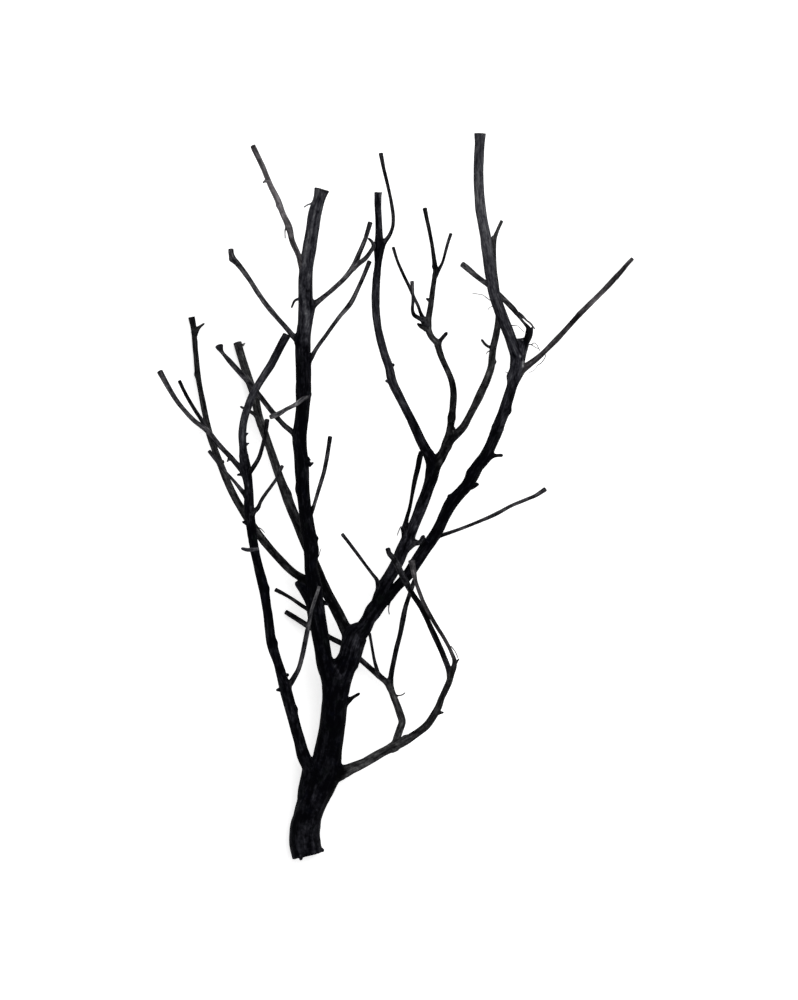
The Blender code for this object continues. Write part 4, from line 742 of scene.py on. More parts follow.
# Greyer and darker patches on the upper side: partly worn and darkened wood, partly painted light, the pale
# ones painted sheen and highlights and the dark ones painted shade in grooves and dents. The limb, the two
# ends of a streak (x, y), its half width and how much greyer the black is there.
STREAKS_AND_HIGHLIGHTS = {
    "stem": (
        (-4.5, 19, -4.5, 19, 3, 0.12), (-0.5, 24, -2.5, 16.5, 1, 0.15), (4, 44, 3.5, 34, 1, 0.18),
        (3.5, 30.5, 3.5, 30.5, 2.5, -0.25), (6, 31.5, 6, 31.5, 0.8, 0.3), (4.5, 23, 4.5, 23, 1.2, 0.15),
        (3, 10.5, 3.5, 5, 1, 0.12), (4, 4, 4, 4, 1.5, -0.15), (-3, 5.5, 1, 2.5, 0.8, 0.1),
        (-5.5, 11.5, -5.5, 11.5, 1.5, -0.1), (0, 53, 0, 53, 1, 0.2), (1, 51.5, 1, 51.5, 3, -0.1),
        (23.5, 126.5, 23.5, 108, 1.2, 0.12), (23, 110.5, 23, 110.5, 1.5, 0.2),
        (29.5, 123.5, 29.5, 123.5, 1.5, 0.2), (42.5, 172, 41.5, 165.5, 1.2, 0.2),
        (48, 168.5, 45, 164, 1.2, 0.3), (47.5, 173, 47.5, 173, 1, 0.3), (51.5, 190, 48, 186, 1.2, 0.3),
        (51.5, 181.5, 51.5, 181.5, 4, -0.2), (132.5, 299.5, 132.5, 299.5, 0.8, -0.2),
        (132.5, 297.5, 135.5, 299, 0.5, 0.2), (131, 295, 131, 295, 2.2, -0.12),
        (136, 303, 136.5, 309.5, 1.5, 0.25), (138.5, 314.5, 138, 321.5, 1.5, 0.2),
        (141, 312.5, 143, 324.5, 1, -0.2), (127.5, 283.5, 127.5, 283.5, 2, 0.2),
        (143, 329.5, 141.5, 339.5, 1.5, 0.15), (146.5, 339.5, 144, 329.5, 0.7, -0.15),
        (147.5, 349.5, 142.5, 351.5, 2, -0.2), (148.5, 356.5, 149.5, 361.5, 2, -0.3),
        (149, 361, 149, 361, 0.7, 0.5), (142.5, 367, 142.5, 367, 1.5, 0.15),
        (132.5, 377, 138.5, 360.5, 0.8, -0.2), (132.5, 391, 129, 397.5, 1.5, 0.1),
        (34.5, 147, 34.5, 147, 2, 0.25), (32, 144, 32, 144, 1.2, 0.15), (51, 182, 51, 182, 5, -0.2),
        (60, 184, 66, 190, 1.5, -0.15), (79.5, 222, 76, 211, 0.8, 0.25),
        (23.5, 125.5, 23.5, 125.5, 1.6, 0.25), (33, 152.5, 33, 152.5, 2.2, 0.12),
        (146.5, 361.5, 148.5, 353.5, 1.6, -0.3), (28.5, 135, 25, 127.5, 1, 0.5),
        (18.5, 134, 22.5, 127.5, 1, 0.45), (24, 134.5, 24, 134.5, 1.7, -0.3),
        (23.5, 122, 23.5, 122, 1.5, -0.15), (150, 345.9, 149.9, 343.3, 1.2, 1.1),
        (148, 349.9, 148, 349.9, 0.9, 1.3),
    ),
    "leader": (
        (9, 178.5, 9.5, 172, 1.8, 0.25), (13, 169, 14, 154, 0.8, 0.1), (0.5, 272, 1, 260.5, 1.1, 0.3),
        (-8, 289.5, -8, 279, 1.2, 0.15), (-4.5, 281.5, -4.5, 270.5, 1.2, -0.2),
        (-2.5, 254, -2.5, 254, 0.8, 0.2), (3, 226, 4, 223, 1.2, 0.15), (-2, 394.5, -2, 380.5, 1, 0.25),
        (0, 380.5, -0.5, 361, 1.8, 0.35), (-5, 391.5, -4.5, 384.5, 1.2, -0.2),
        (-6.5, 364, -6.5, 357, 1.8, -0.3), (1, 394.5, 3, 383.5, 1.6, -0.25),
        (-0.5, 355.5, -0.5, 355.5, 1.8, -0.25), (-2.5, 338.5, -1.5, 326, 0.8, 0.2),
        (-5, 348, -5, 327.5, 1.5, -0.1), (-1.5, 313, -2, 297, 1.6, -0.15), (-7, 297, -8.5, 291.5, 1.5, 0.15),
        (2, 442.5, -2, 414.5, 1.2, 0.2), (7, 450, 1.5, 414.5, 1, -0.25), (-3.5, 406.5, -0.5, 395, 1.5, -0.15),
        (1.5, 406, 3, 403, 1, 0.15), (9, 459.5, 7.5, 450, 1.1, -0.25), (12, 457, 9.5, 446, 0.7, 0.15),
        (9.5, 465, 14, 463, 1, -0.25), (-3.5, 254, -3.5, 254, 0.6, 0.3), (-3, 259, -3, 259, 0.5, 0.25),
        (-5.5, 260.5, -5.5, 260.5, 0.5, 0.25), (-6, 252, -6, 252, 0.6, 0.15),
        (-1, 239.5, 3, 229.5, 1.2, 0.15), (-8, 263, -2.5, 232, 2.2, -0.08), (0.5, 395, 2, 387, 1.1, -0.2),
        (18, 134, 22, 128.5, 1.1, 0.3), (-4, 262, -3, 253, 2, -0.12), (2.5, 229.5, 2.5, 229.5, 1.2, 0.15),
    ),
    "left_limb": (
        (-30.5, 190.5, -23.5, 151.5, 1, -0.2), (-35, 186.5, -27.5, 150.5, 1.2, 0.1),
        (-24.5, 145, -24.5, 145, 1.5, 0.15), (-19, 133.5, -19, 133.5, 2, -0.15),
        (-14.5, 122, -13.5, 117.5, 1.2, 0.2), (-15.5, 109.5, -15.5, 109.5, 1.2, -0.2),
        (-8.5, 103.5, -8.5, 103.5, 1.5, -0.15), (-10, 105, -10, 97, 1.2, 0.15),
        (-39, 244.5, -40.5, 235, 1, 0.35), (-38.5, 228.5, -38.5, 228.5, 3, -0.15),
        (-38.5, 221.5, -38.5, 221.5, 2, -0.1), (-42, 279, -39, 260.5, 2.5, -0.12),
        (-41.5, 260.5, -40.5, 251, 1, 0.15), (-24.5, 347.5, -34, 331, 1.2, 0.2),
        (-17.5, 356.5, -22.5, 345.5, 1.5, -0.15), (-43.5, 290, -44.5, 278.5, 1.2, -0.15),
        (-4.5, 74.5, -1.5, 61, 1, 0.2), (-7.5, 73.5, -5, 62, 0.7, -0.15), (-0.5, 73.5, 2.5, 63, 0.8, -0.15),
        (-42, 276, -40, 268, 1.5, -0.12),
    ),
    "crossing_branch": (
        (25.5, 166.5, 25.5, 166.5, 1.6, 0.35), (-15.5, 256.5, -11.5, 244, 1, 0.15),
        (-19.5, 269, -13, 254.5, 0.8, -0.25), (-41.5, 331.5, -48, 351, 1, 0.1),
        (-12.5, 251.5, -7, 237.5, 0.6, -0.25), (-21.5, 276, -19, 268, 0.6, -0.15),
    ),
    "back_branch": (
        (-30, 217.5, -18, 204, 1, 0.08), (-76, 324.5, -73, 314, 0.6, -0.15),
        (-79.5, 340, -79.5, 340, 1, -0.15), (-61, 268, -61, 268, 1.5, -0.1),
    ),
    "middle": (
        (50.5, 359.5, 50.5, 359.5, 1.5, 0.1), (50, 377, 51, 364.5, 0.6, -0.3), (54, 350, 54, 350, 1, -0.2),
        (48, 461.5, 48, 442, 1.2, -0.25), (51, 461.5, 50.5, 439.5, 1, 0.25),
        (48, 432, 50.5, 410.5, 1.5, -0.1), (46, 427, 46, 427, 1.2, 0.2), (51.5, 181.5, 51.5, 181.5, 4, -0.2),
        (49, 196, 50.5, 189, 1.3, 0.15), (62, 206, 57, 196, 1, 0.1), (76, 231, 80, 243, 1.4, 0.25),
        (83.5, 250, 84.5, 255, 1.6, 0.2), (77, 238, 83, 258, 1.2, -0.1), (66.5, 222, 68, 212, 1, -0.1),
        (87.5, 271, 87.5, 271, 3, -0.15), (82, 283, 86, 277.5, 0.9, 0.25), (75, 300, 78, 292, 1, -0.15),
        (65, 319.5, 70, 311.5, 1.2, 0.2), (68, 231, 66.5, 221, 0.7, -0.25), (69.5, 231, 68, 221, 0.5, 0.15),
        (71, 229, 69.5, 222, 0.6, -0.2), (72, 221, 71.5, 216, 0.9, 0.25), (75.5, 223, 76, 230, 1.2, 0.12),
    ),
    "middle_right_branch": (
        (93, 275, 91.5, 280, 1.4, 0.3), (100.5, 292, 100.5, 292, 2.6, -0.2),
        (101.5, 298, 102.5, 299.5, 0.6, 0.6),
    ),
    "middle_inner_branch": (
        (100.5, 292, 100.5, 292, 2.2, -0.15), (101.5, 298, 102.5, 299.5, 0.6, 0.5),
        (97.5, 297.5, 97.5, 297.5, 1, 0.12), (95, 285, 97, 289, 0.8, 0.1), (84, 373, 84, 373, 2, -0.15),
    ),
    "outer_upper_twig": (
        (154, 356.5, 155, 363.5, 0.7, 0.3), (151, 357.5, 153, 368.5, 1, -0.3), (149, 361, 149, 361, 0.7, 0.4),
        (150.2, 345.9, 150, 343.3, 1.2, 1.1),
    ),
    "right_limb": (
        (47, 70.5, 54, 75, 1, 0.12), (36, 63, 45, 65, 0.8, 0.08), (60, 74.5, 52, 69.5, 0.7, -0.1),
        (22.5, 61, 27, 58, 1, -0.15), (64.5, 84.5, 63.5, 79.5, 1.2, 0.12), (28, 59.5, 45, 67, 1.2, 0.15),
        (30, 56.5, 44, 63.5, 0.7, -0.15), (21.5, 57, 27.5, 59.5, 1.3, -0.2),
    ),
    "outer_long_twig": (
        (190.5, 380, 190.5, 380, 1, -0.25), (223, 415, 218.5, 407.5, 1.3, -0.25),
    ),
    "leader_top_twig": (
        (-20, 459.5, -16, 448.5, 0.8, 0.15),
    ),
    "right_limb_brown_twig": (
        (71.5, 207.5, 71.5, 201.5, 0.6, -0.35), (75, 203.5, 75.5, 201, 0.5, -0.2),
        (73.5, 201.5, 75, 195.5, 0.7, 0.3),
    ),
    "right_limb_inner_twig": (
        (59, 211.5, 67.5, 196.5, 0.5, 0.2),
    ),
}

# sRGB colours of the wood, from the unworn black to the palest grey of bared wood, painted sheen and painted
# highlights.
BARK_TONES = {
    "black": ("#010103", "#131317", "#27272c", "#3d3d41", "#545457", "#6f6f71", "#8e8e8f"),
    "olive": ("#020203", "#141415", "#29292a", "#3f3f40", "#565656", "#717170", "#8f8f8d"),
    "twig": ("#020203", "#151518", "#29292c", "#3f3e41", "#575658", "#727173", "#908f90"),
    "brown": ("#030202", "#171617", "#2c2a2c", "#434143", "#5c595b", "#787477", "#969193"),
}
DEEP_TINTS = {
    "black": ("#04050d", "#060b07"), "olive": ("#05060a", "#070a06"), "twig": ("#05050b", "#070806"),
    "brown": ("#0d0806", "#0b0a08"),
}
SWINGS = {"black": 0.36, "olive": 0.42, "twig": 0.54, "brown": 0.36}  # how uneven the grey is: wear, stains and painted sheen


def linear(colour):
    """An sRGB hex colour as linear red, green, blue and alpha."""
    parts = [int(colour[i : i + 2], 16) / 255 for i in (1, 3, 5)]
    return (*(p / 12.92 if p <= 0.04045 else ((p + 0.055) / 1.055) ** 2.4 for p in parts), 1.0)


def noise(places, seed):
    """Smooth noise from -1 to 1 at places measured in cells, from a seeded value at each corner of a cell."""
    cell = np.floor(places).astype(np.int64)
    share = places - cell
    share = share * share * (3 - 2 * share)
    total = 0.0
    for corner in np.ndindex(2, 2, 2):
        at = cell + np.array(corner)
        mixed = (at[..., 0] * 73856093) ^ (at[..., 1] * 19349663) ^ (at[..., 2] * 83492791) ^ (seed * 40503)
        mixed = ((mixed ^ (mixed >> 13)) * 1274126177) & 0xFFFFFFFF
        value = ((mixed ^ (mixed >> 16)) & 0xFFFF) / 32767.5 - 1.0
        total = total + value * np.prod(np.where(corner, share, 1 - share), axis=-1)
    return total


def unit(vectors):
    return vectors / np.linalg.norm(vectors, axis=-1, keepdims=True)


def smooth_path(points, step):
    """Places and widths (x, y, z, width), one every step of length, on a curve through the points."""
    knots = np.array([points[0], *points, points[-1]], float)
    share = np.linspace(0, 1, CURVE_STEPS, endpoint=False)[:, None]
    twice, thrice = share**2, share**3
    fine = []
    for before, start, end, after in zip(knots, knots[1:], knots[2:], knots[3:]):
        spans = [max(np.linalg.norm(b - a), 1e-6) for a, b in ((before, start), (start, end), (end, after))]
        along = (end - start) / spans[1]
        pace_in = (start - before) / spans[0] if spans[0] > 1e-5 else along
        pace_out = (after - end) / spans[2] if spans[2] > 1e-5 else along
        leave = (pace_in * spans[1] + along * spans[0]) / (spans[0] + spans[1]) * spans[1]
        reach = (along * spans[2] + pace_out * spans[1]) / (spans[1] + spans[2]) * spans[1]
        fine.append(
            start * (2 * thrice - 3 * twice + 1)
            + leave * (thrice - 2 * twice + share)
            + end * (3 * twice - 2 * thrice)
            + reach * (thrice - twice)
        )
    fine = np.vstack([*fine, knots[-1:]])
    lengths = np.concatenate([[0], np.cumsum(np.linalg.norm(np.diff(fine[:, :3], axis=0), axis=1))])
    wanted = np.linspace(0, lengths[-1], max(4, round(lengths[-1] / step)) + 1)
    return np.column_stack([np.interp(wanted, lengths, fine[:, i]) for i in range(4)]), wanted


def spread_out(values, count):
    """Values at even steps, as this many values at even steps."""
    return np.interp(np.linspace(0, 1, count), np.linspace(0, 1, len(values)), values)


class Path:
    """A limb's centreline in rings: their centres, headings, sides, tops, radii, lengths and wear."""

    def __init__(self, name, points, wear, seed, bark=BARK):
        rings, self.along = smooth_path(points, RING_STEP)
        self.name, self.seed = name, seed
        self.centre = rings[:, :3]
        self.radius = rings[:, 3] / 2 + bark * np.clip(0.5 + 0.22 * rings[:, 3], 0.3, 1.0)
        self.heading = unit(np.gradient(self.centre, axis=0))
        self.side = unit(np.cross(self.heading, (0, 0, 1)))
        self.top = np.cross(self.side, self.heading)
        self.widest = float(rings[:, 3].max())
        self.wear = spread_out(wear, len(self.along))


def outside(places, path, keep):
    """How far each place is outside the limb's wood, less than 0 within it."""
    centre, radius = path.centre[keep], path.radius[keep]
    start, reach = centre[:-1], np.diff(centre, axis=0)
    from_start = places[:, None, :] - start[None]
    share = np.clip((from_start * reach).sum(-1) / (reach**2).sum(-1), 0, 1)
    gap = np.linalg.norm(from_start - share[..., None] * reach, axis=-1)
    return (gap - radius[:-1] - share * np.diff(radius)).min(axis=1)


def smooth_least(a, b, web):
    """The lesser of two distances, with the corner where they are equal webbed."""
    share = np.clip(0.5 + 0.5 * (b - a) / web, 0, 1)
    return b + (a - b) * share - web * share * (1 - share)


def webbed(path, outward, relatives):
    """How far out the wood is drawn on each ring of the limb, where it grows together with its relatives."""
    drawn = np.zeros(outward.shape[:2])
    for other, web in relatives:
        reach = web + path.radius.max() + other.radius.max() + 2.0
        gaps = np.linalg.norm(path.centre[:, None] - other.centre[None], axis=-1)
        near, keep = np.flatnonzero(gaps.min(axis=1) < reach), np.flatnonzero(gaps.min(axis=0) < reach + web)
        if len(near) < 2 or len(keep) < 2:
            continue
        keep = np.arange(keep.min(), keep.max() + 1)
        ways = outward[near].reshape(-1, 3)
        roots = np.repeat(path.centre[near], outward.shape[1], axis=0)
        roots = roots + ways * np.repeat(path.radius[near], outward.shape[1])[:, None]
        out = np.zeros(len(roots))
        for _ in range(WEB_STEPS):
            gap = outside(roots + ways * out[:, None], other, keep)
            out = np.clip(out - 0.8 * smooth_least(out, gap, web), 0, WEB_RISE * web)
        drawn[near] = np.maximum(drawn[near], out.reshape(len(near), -1))
    return drawn


def relief(path, angles):
    """The bark's lumps and furrows, in millimetres out, how deep in a furrow each place is, and the grain."""
    size = path.radius.mean()
    turn = np.stack([np.cos(angles), np.sin(angles)], axis=-1) * size
    rings, sides = len(path.along), len(angles)
    grain = np.empty((rings, sides, 3))
    grain[..., :2] = turn[None]
    grain[..., 2] = path.along[:, None] + 97.0 * path.seed
    lumps = noise(grain / (4.5 + size, 4.5 + size, 16.0), path.seed) * 0.07 * path.radius[:, None]
    lumps += noise(grain / BROAD_LUMPS, path.seed + 1) * 0.03 * path.radius[:, None]
    depth = min(0.20, 0.06 * size + 0.02)
    furrows = noise(grain / FURROWS, path.seed + 2)
    furrows = 0.65 * furrows + 0.35 * noise(grain / FINE_FURROWS, path.seed + 3)
    cracks = np.clip(CRACK_SHARE - np.abs(noise(grain / CRACKS, path.seed + 4)), 0, 1) / CRACK_SHARE
    still = np.zeros_like(path.along)
    swell = noise(np.stack([path.along / SWELL_LENGTH, still, still], axis=-1), path.seed + 5)
    out = lumps + depth * furrows - 0.9 * depth * cracks + (swell * 0.035 * path.radius)[:, None]
    return out, np.clip(-0.8 * furrows + 0.7 * cracks, -1, 1), grain


def worn_on_from(path, surface, greyed, hosts):
    """The wear, brought to that of the limb's hosts where it grows out of them: bark runs on over a fork."""
    blend = min(0.5 + 0.5 * path.widest, 2.5)
    for host, web in hosts:
        gaps = np.linalg.norm(path.centre[:, None] - host.centre[None], axis=-1)
        reach = path.radius.max() + host.radius.max() + web + blend
        near, keep = np.flatnonzero(gaps.min(axis=1) < reach), np.flatnonzero(gaps.min(axis=0) < reach)
        if not len(near):
            continue
        away = np.linalg.norm(surface[near][:, :, None] - host.centre[keep], axis=-1) - host.radius[keep]
        share = np.clip((WEB_RISE * web + blend - away.min(axis=-1)) / blend, 0, 1)
        there = host.wear[keep][away.argmin(axis=-1)]
        greyed[near] += (there - greyed[near]) * share * share * (3 - 2 * share)
    return greyed


def closed_end(path, surface, grain, ring, sign, ends):
    """The rings that close an end, from its rim to its middle: their places, their grain and their share of
    the rim's radius."""
    shape = np.array((*TIPS[ends], (TIPS[ends][-1][0], 0.0)))
    on, share = shape[:, :1] * 2 * path.radius[ring], shape[:, 1:]
    places = path.centre[ring] + (surface[ring] - path.centre[ring]) * share[..., None]
    rough = noise(places / TEAR, path.seed + 6) * TIP_ROUGHNESS[ends] * min(path.radius[ring] / 4, 1)
    rough = rough * (share < 0.97)
    places = places + sign * path.heading[ring] * (on + rough)[..., None]
    grains = grain[ring] * np.stack([share, share, share * 0 + 1], axis=-1)
    grains[..., 2] += sign * on
    return places, grains, share


def limb_surface(path, ends, relatives, hosts):
    """The limb's wood, closed at both ends: its points and faces, and what its finish is made from."""
    count = next(sides for width, sides in SIDES if path.widest >= width)
    angles = np.linspace(0, 2 * math.pi, count, endpoint=False)
    outward = (
        path.side[:, None] * np.cos(angles)[None, :, None] + path.top[:, None] * np.sin(angles)[None, :, None]
    )
    out, hollow, grain = relief(path, angles)
    reach = path.radius[:, None] + webbed(path, outward, relatives)
    surface = path.centre[:, None] + outward * reach[..., None]
    knots = np.zeros_like(out)
    for name, place, spread, height in KNOTS:
        if name == path.name:
            away = np.linalg.norm(surface - np.array(place), axis=-1)
            knots += height * np.exp(-((away / spread) ** 2))
    for name, place, length, height in COLLARS:
        if name == path.name:
            nearest = np.linalg.norm(path.centre - np.array(place), axis=-1).argmin()
            off = (path.along - path.along[nearest]) / length
            ridge = np.exp(-(off**2))[:, None] * (0.7 + 0.3 * noise(grain / 1.5, path.seed + 9))
            knots += height * ridge
            hollow = hollow - 1.2 * np.sign(height) * ridge
    surface = surface + outward * (out + knots)[..., None]

    greyed = worn_on_from(path, surface, np.repeat(path.wear[:, None], count, axis=1), hosts)
    patchy = 0.75 + 0.45 * noise(surface / FLECK, path.seed + 8)
    # Patches of grey and black from the streak table, only on faces turned up: wear, with painted sheen,
    # painted highlights and painted groove shade.
    for x0, y0, x1, y1, half, amount in STREAKS_AND_HIGHLIGHTS.get(path.name, ()):
        start, reach = np.array((x0, y0)), np.array((x1 - x0, y1 - y0))
        away = surface[..., :2] - start
        share = np.clip((away * reach).sum(-1) / max((reach**2).sum(), 1e-6), 0, 1)
        gap = np.linalg.norm(away - share[..., None] * reach, axis=-1) / half
        greyed = greyed + amount * patchy * np.exp(-(gap**2)) * np.clip(outward[..., 2] * 2 + 0.6, 0, 1)

    root_ends = "clipped" if hosts else "sawn"
    root, root_grain, root_share = closed_end(path, surface, grain, 0, -1, root_ends)
    tip, tip_grain, tip_share = closed_end(path, surface, grain, -1, 1, ends)

    def with_ends(on_root, on_limb, on_tip):
        """Values point by point: the rings from root to tip, then the middles of the two ends."""
        rings = np.concatenate([on_root[-2::-1], on_limb, on_tip[:-1]])
        return np.concatenate([rings.reshape(-1, *rings.shape[2:]), on_root[-1, :1], on_tip[-1, :1]])

    def faded(values, towards):
        """Values that fade over each end, from its rim to its middle, towards the one given there."""
        return with_ends(
            values[0] * root_share + towards[0] * (1 - root_share), values,
            values[-1] * tip_share + towards[-1] * (1 - tip_share),
        )

    halfway = len(path.along) // 2
    middles = np.repeat(path.centre[[0, -1]], (halfway, len(path.along) - halfway), axis=0)[:, None]
    rings, base = len(root) + len(surface) + len(tip) - 2, np.arange(count)
    following, starts = np.roll(base, -1), np.arange(rings - 1)[:, None] * count
    after = starts + count
    quads = np.stack([starts + base, starts + following, after + following, after + base], axis=-1)
    last, poles = (rings - 1) * count, np.full(count, rings * count)
    fans = np.concatenate([
        np.stack([following, base, poles], axis=1),
        np.stack([last + base, last + following, poles + 1], axis=1),
    ])
    root_cut, tip_cut = root_ends == "sawn", ends == "sawn"
    cut = np.zeros((rings - 1, count), int)
    cut[: len(root) - 2] = root_cut
    cut[len(cut) - len(tip) + 2 :] = tip_cut
    return Surface(
        with_ends(root, surface, tip), quads.reshape(-1, 4), fans, cut.ravel(),
        np.repeat([root_cut, tip_cut], count).astype(int), with_ends(root_grain, grain, tip_grain),
        with_ends(root - path.centre[0], surface - middles, tip - path.centre[-1]),
        faded(greyed, greyed.mean(axis=1)), faded(hollow, np.zeros(len(hollow))),
    )


def piece_of(name, nodes, bark, surfaces, materials):
    """One object from the surfaces of a limb and its spurs."""
    faces, offset = [], 0
    for surface in surfaces:
        faces += (surface.quads + offset).tolist() + (surface.fans + offset).tolist()
        offset += len(surface.places)
    mesh = bpy.data.meshes.new(name)
    places = np.vstack([surface.places for surface in surfaces])
    mesh.from_pydata(((places - LAID_OUT_ORIGIN) * MM).tolist(), [], faces)
    for label, kind, field in (("grain", "FLOAT_VECTOR", "vector"), ("end_grain", "FLOAT_VECTOR", "vector"),
                               ("wear", "FLOAT", "value"), ("hollow", "FLOAT", "value")):
        values = np.concatenate([getattr(surface, label) for surface in surfaces])
        mesh.attributes.new(label, kind, "POINT").data.foreach_set(field, values.ravel())
    mesh.materials.append(materials[bark])
    mesh.materials.append(materials["cut"])
    cut = np.concatenate([part for surface in surfaces for part in (surface.cut_quads, surface.cut_fans)])
    mesh.polygons.foreach_set("material_index", cut)
    mesh.update()
    shape = bmesh.new()
    shape.from_mesh(mesh)
    bmesh.ops.recalc_face_normals(shape, faces=shape.faces)
    shape.to_mesh(mesh)
    shape.free()
    mesh.shade_smooth()
    mesh.set_sharp_from_angle(angle=SHARP_EDGE)
    piece = bpy.data.objects.new(name, mesh)
    bpy.context.scene.collection.objects.link(piece)
    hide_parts(*nodes.split())
    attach(piece, "root")


def add(tree, kind, inputs=None, stops=None, **settings):
    """Adds a shader node. Its inputs are given values, or the outputs that they are linked to."""
    made = tree.nodes.new("ShaderNode" + kind)
    for name, value in settings.items():
        setattr(made, name, value)
    for name, value in (inputs or {}).items():
        if isinstance(value, bpy.types.NodeSocket):
            tree.links.new(value, made.inputs[name])
        else:
            made.inputs[name].default_value = value
    if stops:
        ramp = made.color_ramp
        while len(ramp.elements) < len(stops):
            ramp.elements.new(0.5)
        for element, (position, colour) in zip(ramp.elements, stops):
            element.position, element.color = position, linear(colour)
    return made


def new_material(name):
    material = bpy.data.materials.new(name)
    material.use_nodes = True
    material.node_tree.nodes.clear()
    return material, material.node_tree


def weathered_bark(name, kind):
    """Thin, hard root bark, long under water and dried black: dull, with grey along its fibres that is partly
    wear and partly painted sheen, cooler and greener blacks in its hollows, and no gloss."""
    material, tree = new_material(name)
    grain = add(tree, "Attribute", attribute_name="grain").outputs["Vector"]
    # The grey of the wood: its wear from root to tip, with the painted sheen, painted highlights and painted
    # groove shade of the streaks.
    wear = add(tree, "Attribute", attribute_name="wear").outputs["Fac"]
    hollow = add(tree, "Attribute", attribute_name="hollow").outputs["Fac"]

    def pattern(across, along, detail, shift):
        """Noise as coarse as this, in millimetres across and along the grain."""
        scale = (1 / across, 1 / across, 1 / along)
        scaled = add(tree, "VectorMath", {0: grain, 1: scale}, operation="MULTIPLY")
        moved = add(tree, "VectorMath", {0: scaled.outputs[0], 1: (shift, shift * 2, 0)}, operation="ADD")
        made = add(tree, "TexNoise", {
            "Vector": moved.outputs[0], "Scale": 1.0, "Detail": detail, "Roughness": 0.55,
        })
        return add(tree, "MapRange", {
            "Value": made.outputs["Fac"], "From Min": 0.3, "From Max": 0.7, "To Min": -1.0,
        }, clamp=False).outputs[0]

    wear_and_sheen_streaks = pattern(1.6, 11.0, 3.0, 0.0)  # worn fibres with painted sheen along them, 1 to 2 mm wide
    blotches = pattern(4.0, 6.0, 2.0, 5.3)  # algae stains, half a limb wide
    specks = pattern(1.2, 1.8, 1.0, 17.9)  # pits and worn specks, 1 to 2 mm across
    fibres = pattern(0.45, 4.5, 2.0, 9.1)  # fibres of 0.1 mm, drawn at about 0.5 mm so that they show
    stains = pattern(7.0, 20.0, 1.0, 13.7)  # bluish and greenish blacks, a few along each limb
    uneven = 0.0
    for marks, weight in ((wear_and_sheen_streaks, 0.42), (blotches, 0.35), (specks, 0.22), (fibres, 0.22), (hollow, -0.35)):
        uneven = add(tree, "Math", {0: marks, 1: weight, 2: uneven}, operation="MULTIPLY_ADD").outputs[0]
    swing = add(tree, "Math", {0: wear, 1: 0.12, 2: SWINGS[kind]}, operation="MULTIPLY_ADD").outputs[0]
    tone = add(tree, "Math", {0: uneven, 1: swing, 2: wear}, operation="MULTIPLY_ADD").outputs[0]
    shade = add(tree, "Math", {0: tone, 1: 1 / PALEST_TONE}, operation="MULTIPLY").outputs[0]
    steps = (0.0, 0.2, 0.4, 0.6, 0.8, 1.0, PALEST_TONE)
    stops = [(step / PALEST_TONE, colour) for step, colour in zip(steps, BARK_TONES[kind])]
    grey = add(tree, "ValToRGB", {0: shade}, stops=stops).outputs["Color"]
    bluer, greener = (linear(tint) for tint in DEEP_TINTS[kind])
    share = add(tree, "MapRange", {"Value": stains, "From Min": -0.2, "From Max": 0.6}).outputs[0]
    deep = add(tree, "Mix", {0: share, 6: bluer, 7: greener}, data_type="RGBA").outputs[2]
    tinted = add(tree, "MapRange", {
        "Value": blotches, "From Min": 0.0, "From Max": 1.0, "To Max": 0.7,
    }).outputs[0]
    dark = add(tree, "MapRange", {"Value": tone, "From Min": 0.35, "From Max": 0.0}).outputs[0]
    amount = add(tree, "Math", {0: tinted, 1: dark}, operation="MULTIPLY").outputs[0]
    colour = add(tree, "Mix", {0: amount, 6: grey, 7: deep}, data_type="RGBA").outputs[2]
    rough = add(tree, "MapRange", {
        "Value": wear_and_sheen_streaks, "From Min": -1.0, "To Min": 0.82, "To Max": 0.62,
    }).outputs[0]
    height = 0.0
    for marks, weight in ((fibres, 0.5), (wear_and_sheen_streaks, 0.35), (blotches, 0.15)):
        height = add(tree, "Math", {0: marks, 1: weight, 2: height}, operation="MULTIPLY_ADD").outputs[0]
    bump = add(tree, "Bump", {"Height": height, "Strength": 0.7, "Distance": 0.14 * MM}).outputs[0]
    shader = add(tree, "BsdfPrincipled", {
        "Base Color": colour, "Roughness": rough, "Normal": bump, "IOR": WOOD_IOR,
        "Specular IOR Level": WOOD_SHINE,
    })
    add(tree, "OutputMaterial", {"Surface": shader.outputs[0]})
    return material


